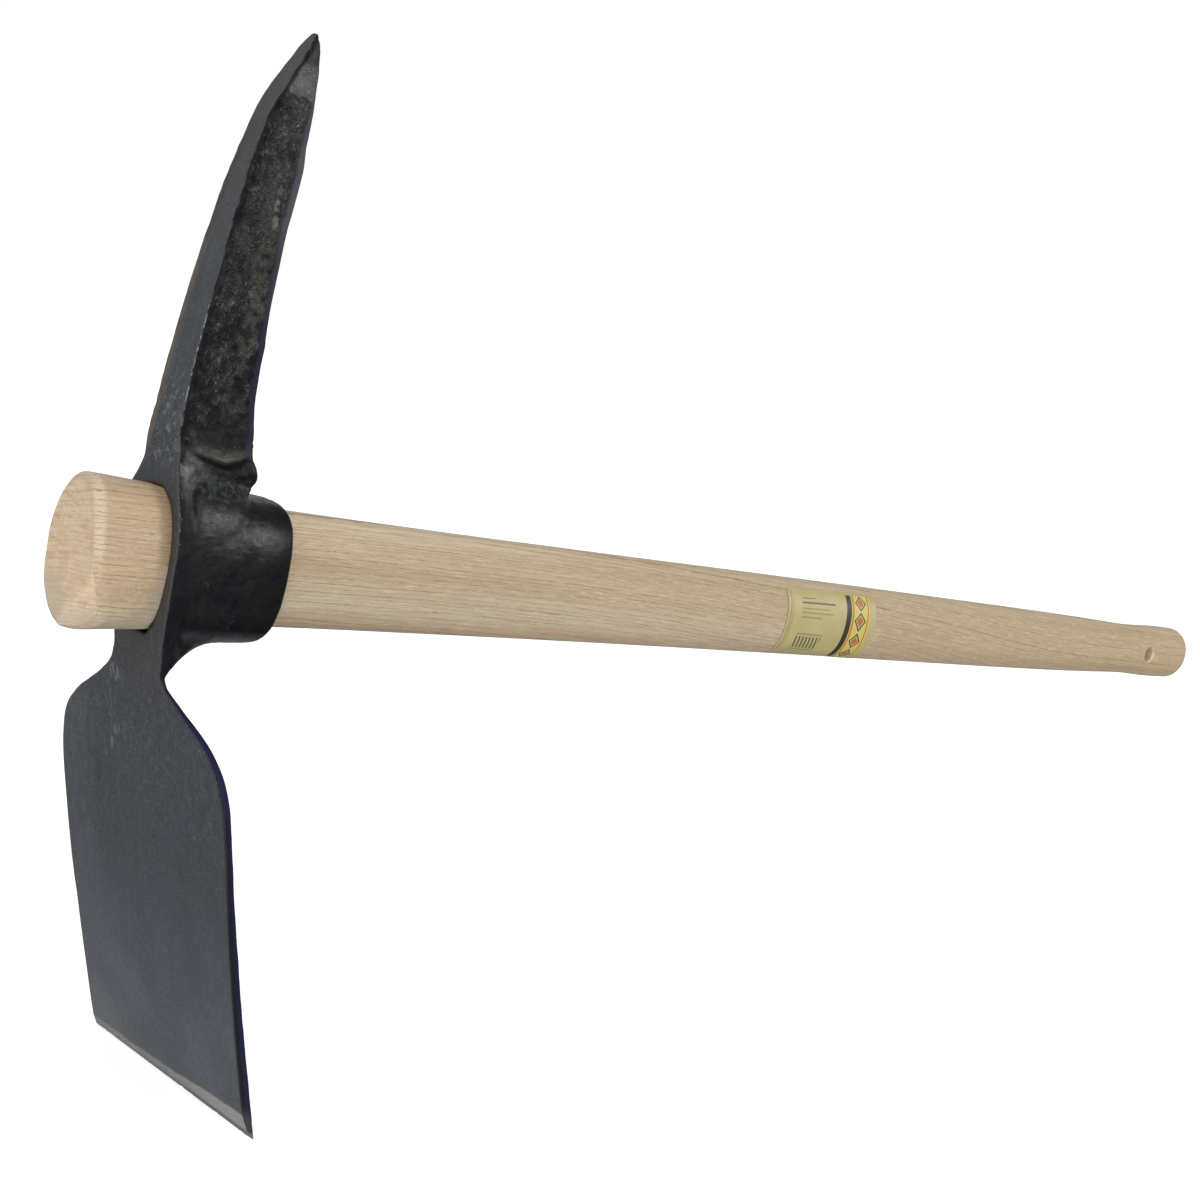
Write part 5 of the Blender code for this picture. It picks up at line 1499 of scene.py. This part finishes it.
# -------------------------------------------------------------------- stage
def stage_material(name, colour, glow):
    t = Tree(name)
    spread = t.noise(t.coordinates(), 3.0, 2.0)
    t.link(t.mix(t.band(spread, 0.3, 0.7), colour, tuple(c * 0.985 for c in colour)), t.shader.inputs["Base Color"])
    t.shader.inputs["Roughness"].default_value = 0.9
    t.shader.inputs["Specular IOR Level"].default_value = 0.0
    t.shader.inputs["Emission Color"].default_value = (1.0, 1.0, 1.0, 1.0)
    t.shader.inputs["Emission Strength"].default_value = glow
    return t.material


floor_mesh = bpy.data.meshes.new("studio_floor")
_f = -0.2655
floor_mesh.from_pydata([(-8, -8, _f), (9, -8, _f), (9, 9, _f), (-8, 9, _f)], [], [(0, 1, 2, 3)])
floor = bpy.data.objects.new("studio_floor", floor_mesh)
bpy.context.scene.collection.objects.link(floor)
floor.data.materials.append(stage_material("studio_pale", (0.80, 0.80, 0.80), 0.58))
floor.visible_diffuse = False
floor.visible_glossy = False


def build_world():
    """A white surround for the eye; a soft grey tent, darker below, for the light."""
    world = bpy.data.worlds.new("studio")
    bpy.context.scene.world = world
    world.use_nodes = True
    tree = world.node_tree
    tree.nodes.clear()

    def node(kind, **props):
        n = tree.nodes.new(kind)
        for key, value in props.items():
            setattr(n, key, value)
        return n

    direction = node("ShaderNodeTexCoord").outputs["Generated"]
    split = node("ShaderNodeSeparateXYZ")
    tree.links.new(direction, split.inputs[0])

    def band(value, lo, hi, a, b):
        n = node("ShaderNodeMapRange", interpolation_type="SMOOTHSTEP")
        tree.links.new(value, n.inputs["Value"])
        n.inputs["From Min"].default_value = lo
        n.inputs["From Max"].default_value = hi
        n.inputs["To Min"].default_value = a
        n.inputs["To Max"].default_value = b
        return n.outputs["Result"]

    def add(a, b):
        n = node("ShaderNodeMath", operation="ADD")
        tree.links.new(a, n.inputs[0])
        tree.links.new(b, n.inputs[1])
        return n.outputs[0]

    def towards(vector):
        n = node("ShaderNodeVectorMath", operation="DOT_PRODUCT")
        tree.links.new(direction, n.inputs[0])
        n.inputs[1].default_value = Vector(vector).normalized()
        return n.outputs["Value"]

    height = band(split.outputs[2], -0.3, 0.4, TENT_LOW, TENT_HIGH)
    room = band(towards((-0.87, -0.49, 0.0)), 0.15, 0.95, 0.0, TENT_ROOM)
    shade = band(towards((0.6, -0.5, -0.62)), 0.5, 0.95, 0.0, -TENT_SHADE)
    hood = band(towards((0.6, 0.1, 0.78)), 0.70, 0.96, 0.0, -TENT_HOOD)
    fill = band(towards((-0.35, -0.75, -0.56)), 0.45, 0.98, 0.0, TENT_FILL)
    level = add(add(add(add(height, room), shade), hood), fill)
    tent = node("ShaderNodeBackground")
    tint = node("ShaderNodeMix", data_type="RGBA")
    tree.links.new(band(split.outputs[2], -0.3, 0.5, 0.0, 1.0), tint.inputs[0])
    tint.inputs[6].default_value = (0.95, 0.98, 1.05, 1.0)
    tint.inputs[7].default_value = (1.0, 1.0, 1.0, 1.0)
    tree.links.new(tint.outputs[2], tent.inputs["Color"])
    tree.links.new(level, tent.inputs["Strength"])
    white = node("ShaderNodeBackground")
    white.inputs["Color"].default_value = (1.0, 1.0, 1.0, 1.0)
    white.inputs["Strength"].default_value = 1.0
    path = node("ShaderNodeLightPath")
    join = node("ShaderNodeMixShader")
    tree.links.new(path.outputs["Is Camera Ray"], join.inputs[0])
    tree.links.new(tent.outputs[0], join.inputs[1])
    tree.links.new(white.outputs[0], join.inputs[2])
    out = node("ShaderNodeOutputWorld")
    tree.links.new(join.outputs[0], out.inputs["Surface"])


TENT_LOW, TENT_HIGH, TENT_ROOM = 0.38, 0.62, 1.05
TENT_SHADE, TENT_HOOD, TENT_FILL = 0.34, 0.42, 0.65
build_world()


def area_light(name, place, target, size, power, colour=(1, 1, 1)):
    light = bpy.data.lights.new(name, "AREA")
    light.shape = "RECTANGLE"
    light.size, light.size_y = size
    light.energy = power
    light.color = colour
    obj = bpy.data.objects.new(name, light)
    bpy.context.scene.collection.objects.link(obj)
    d = Vector(target) - Vector(place)
    obj.rotation_euler = d.to_track_quat("-Z", "Y").to_euler()
    obj.location = place
    obj.visible_camera = False
    return obj


area_light("window", (4.10, -4.85, 2.85), (0.20, -0.02, 0.02), (6.0, 3.2), 125.0)
area_light("lamp", (3.85, -4.60, 2.45), (0.20, -0.02, 0.02), (1.9, 1.0), 42.0)

# ------------------------------------------------------------------- camera
camera_data = bpy.data.cameras.new("camera")
camera_data.lens = 59.74350422389633
camera_data.sensor_width = 36.0
camera_data.clip_start = 0.01
camera_data.clip_end = 50.0
camera = bpy.data.objects.new("camera", camera_data)
bpy.context.scene.collection.objects.link(camera)
camera.matrix_world = Matrix((
    (0.677214569243545, -0.061887832011860267, -0.7331782344376786, -0.4842616544268774),
    (-0.6980925205079909, 0.26079954694211405, -0.6668211372816464, -0.7541511630068398),
    (0.23248066589520977, 0.9634072309068786, 0.13341382020338077, 0.14989360883263794),
    (0.0, 0.0, 0.0, 1.0)))
bpy.context.scene.camera = camera

bpy.context.scene.view_settings.view_transform = "Standard"
bpy.context.scene.view_settings.look = "None"
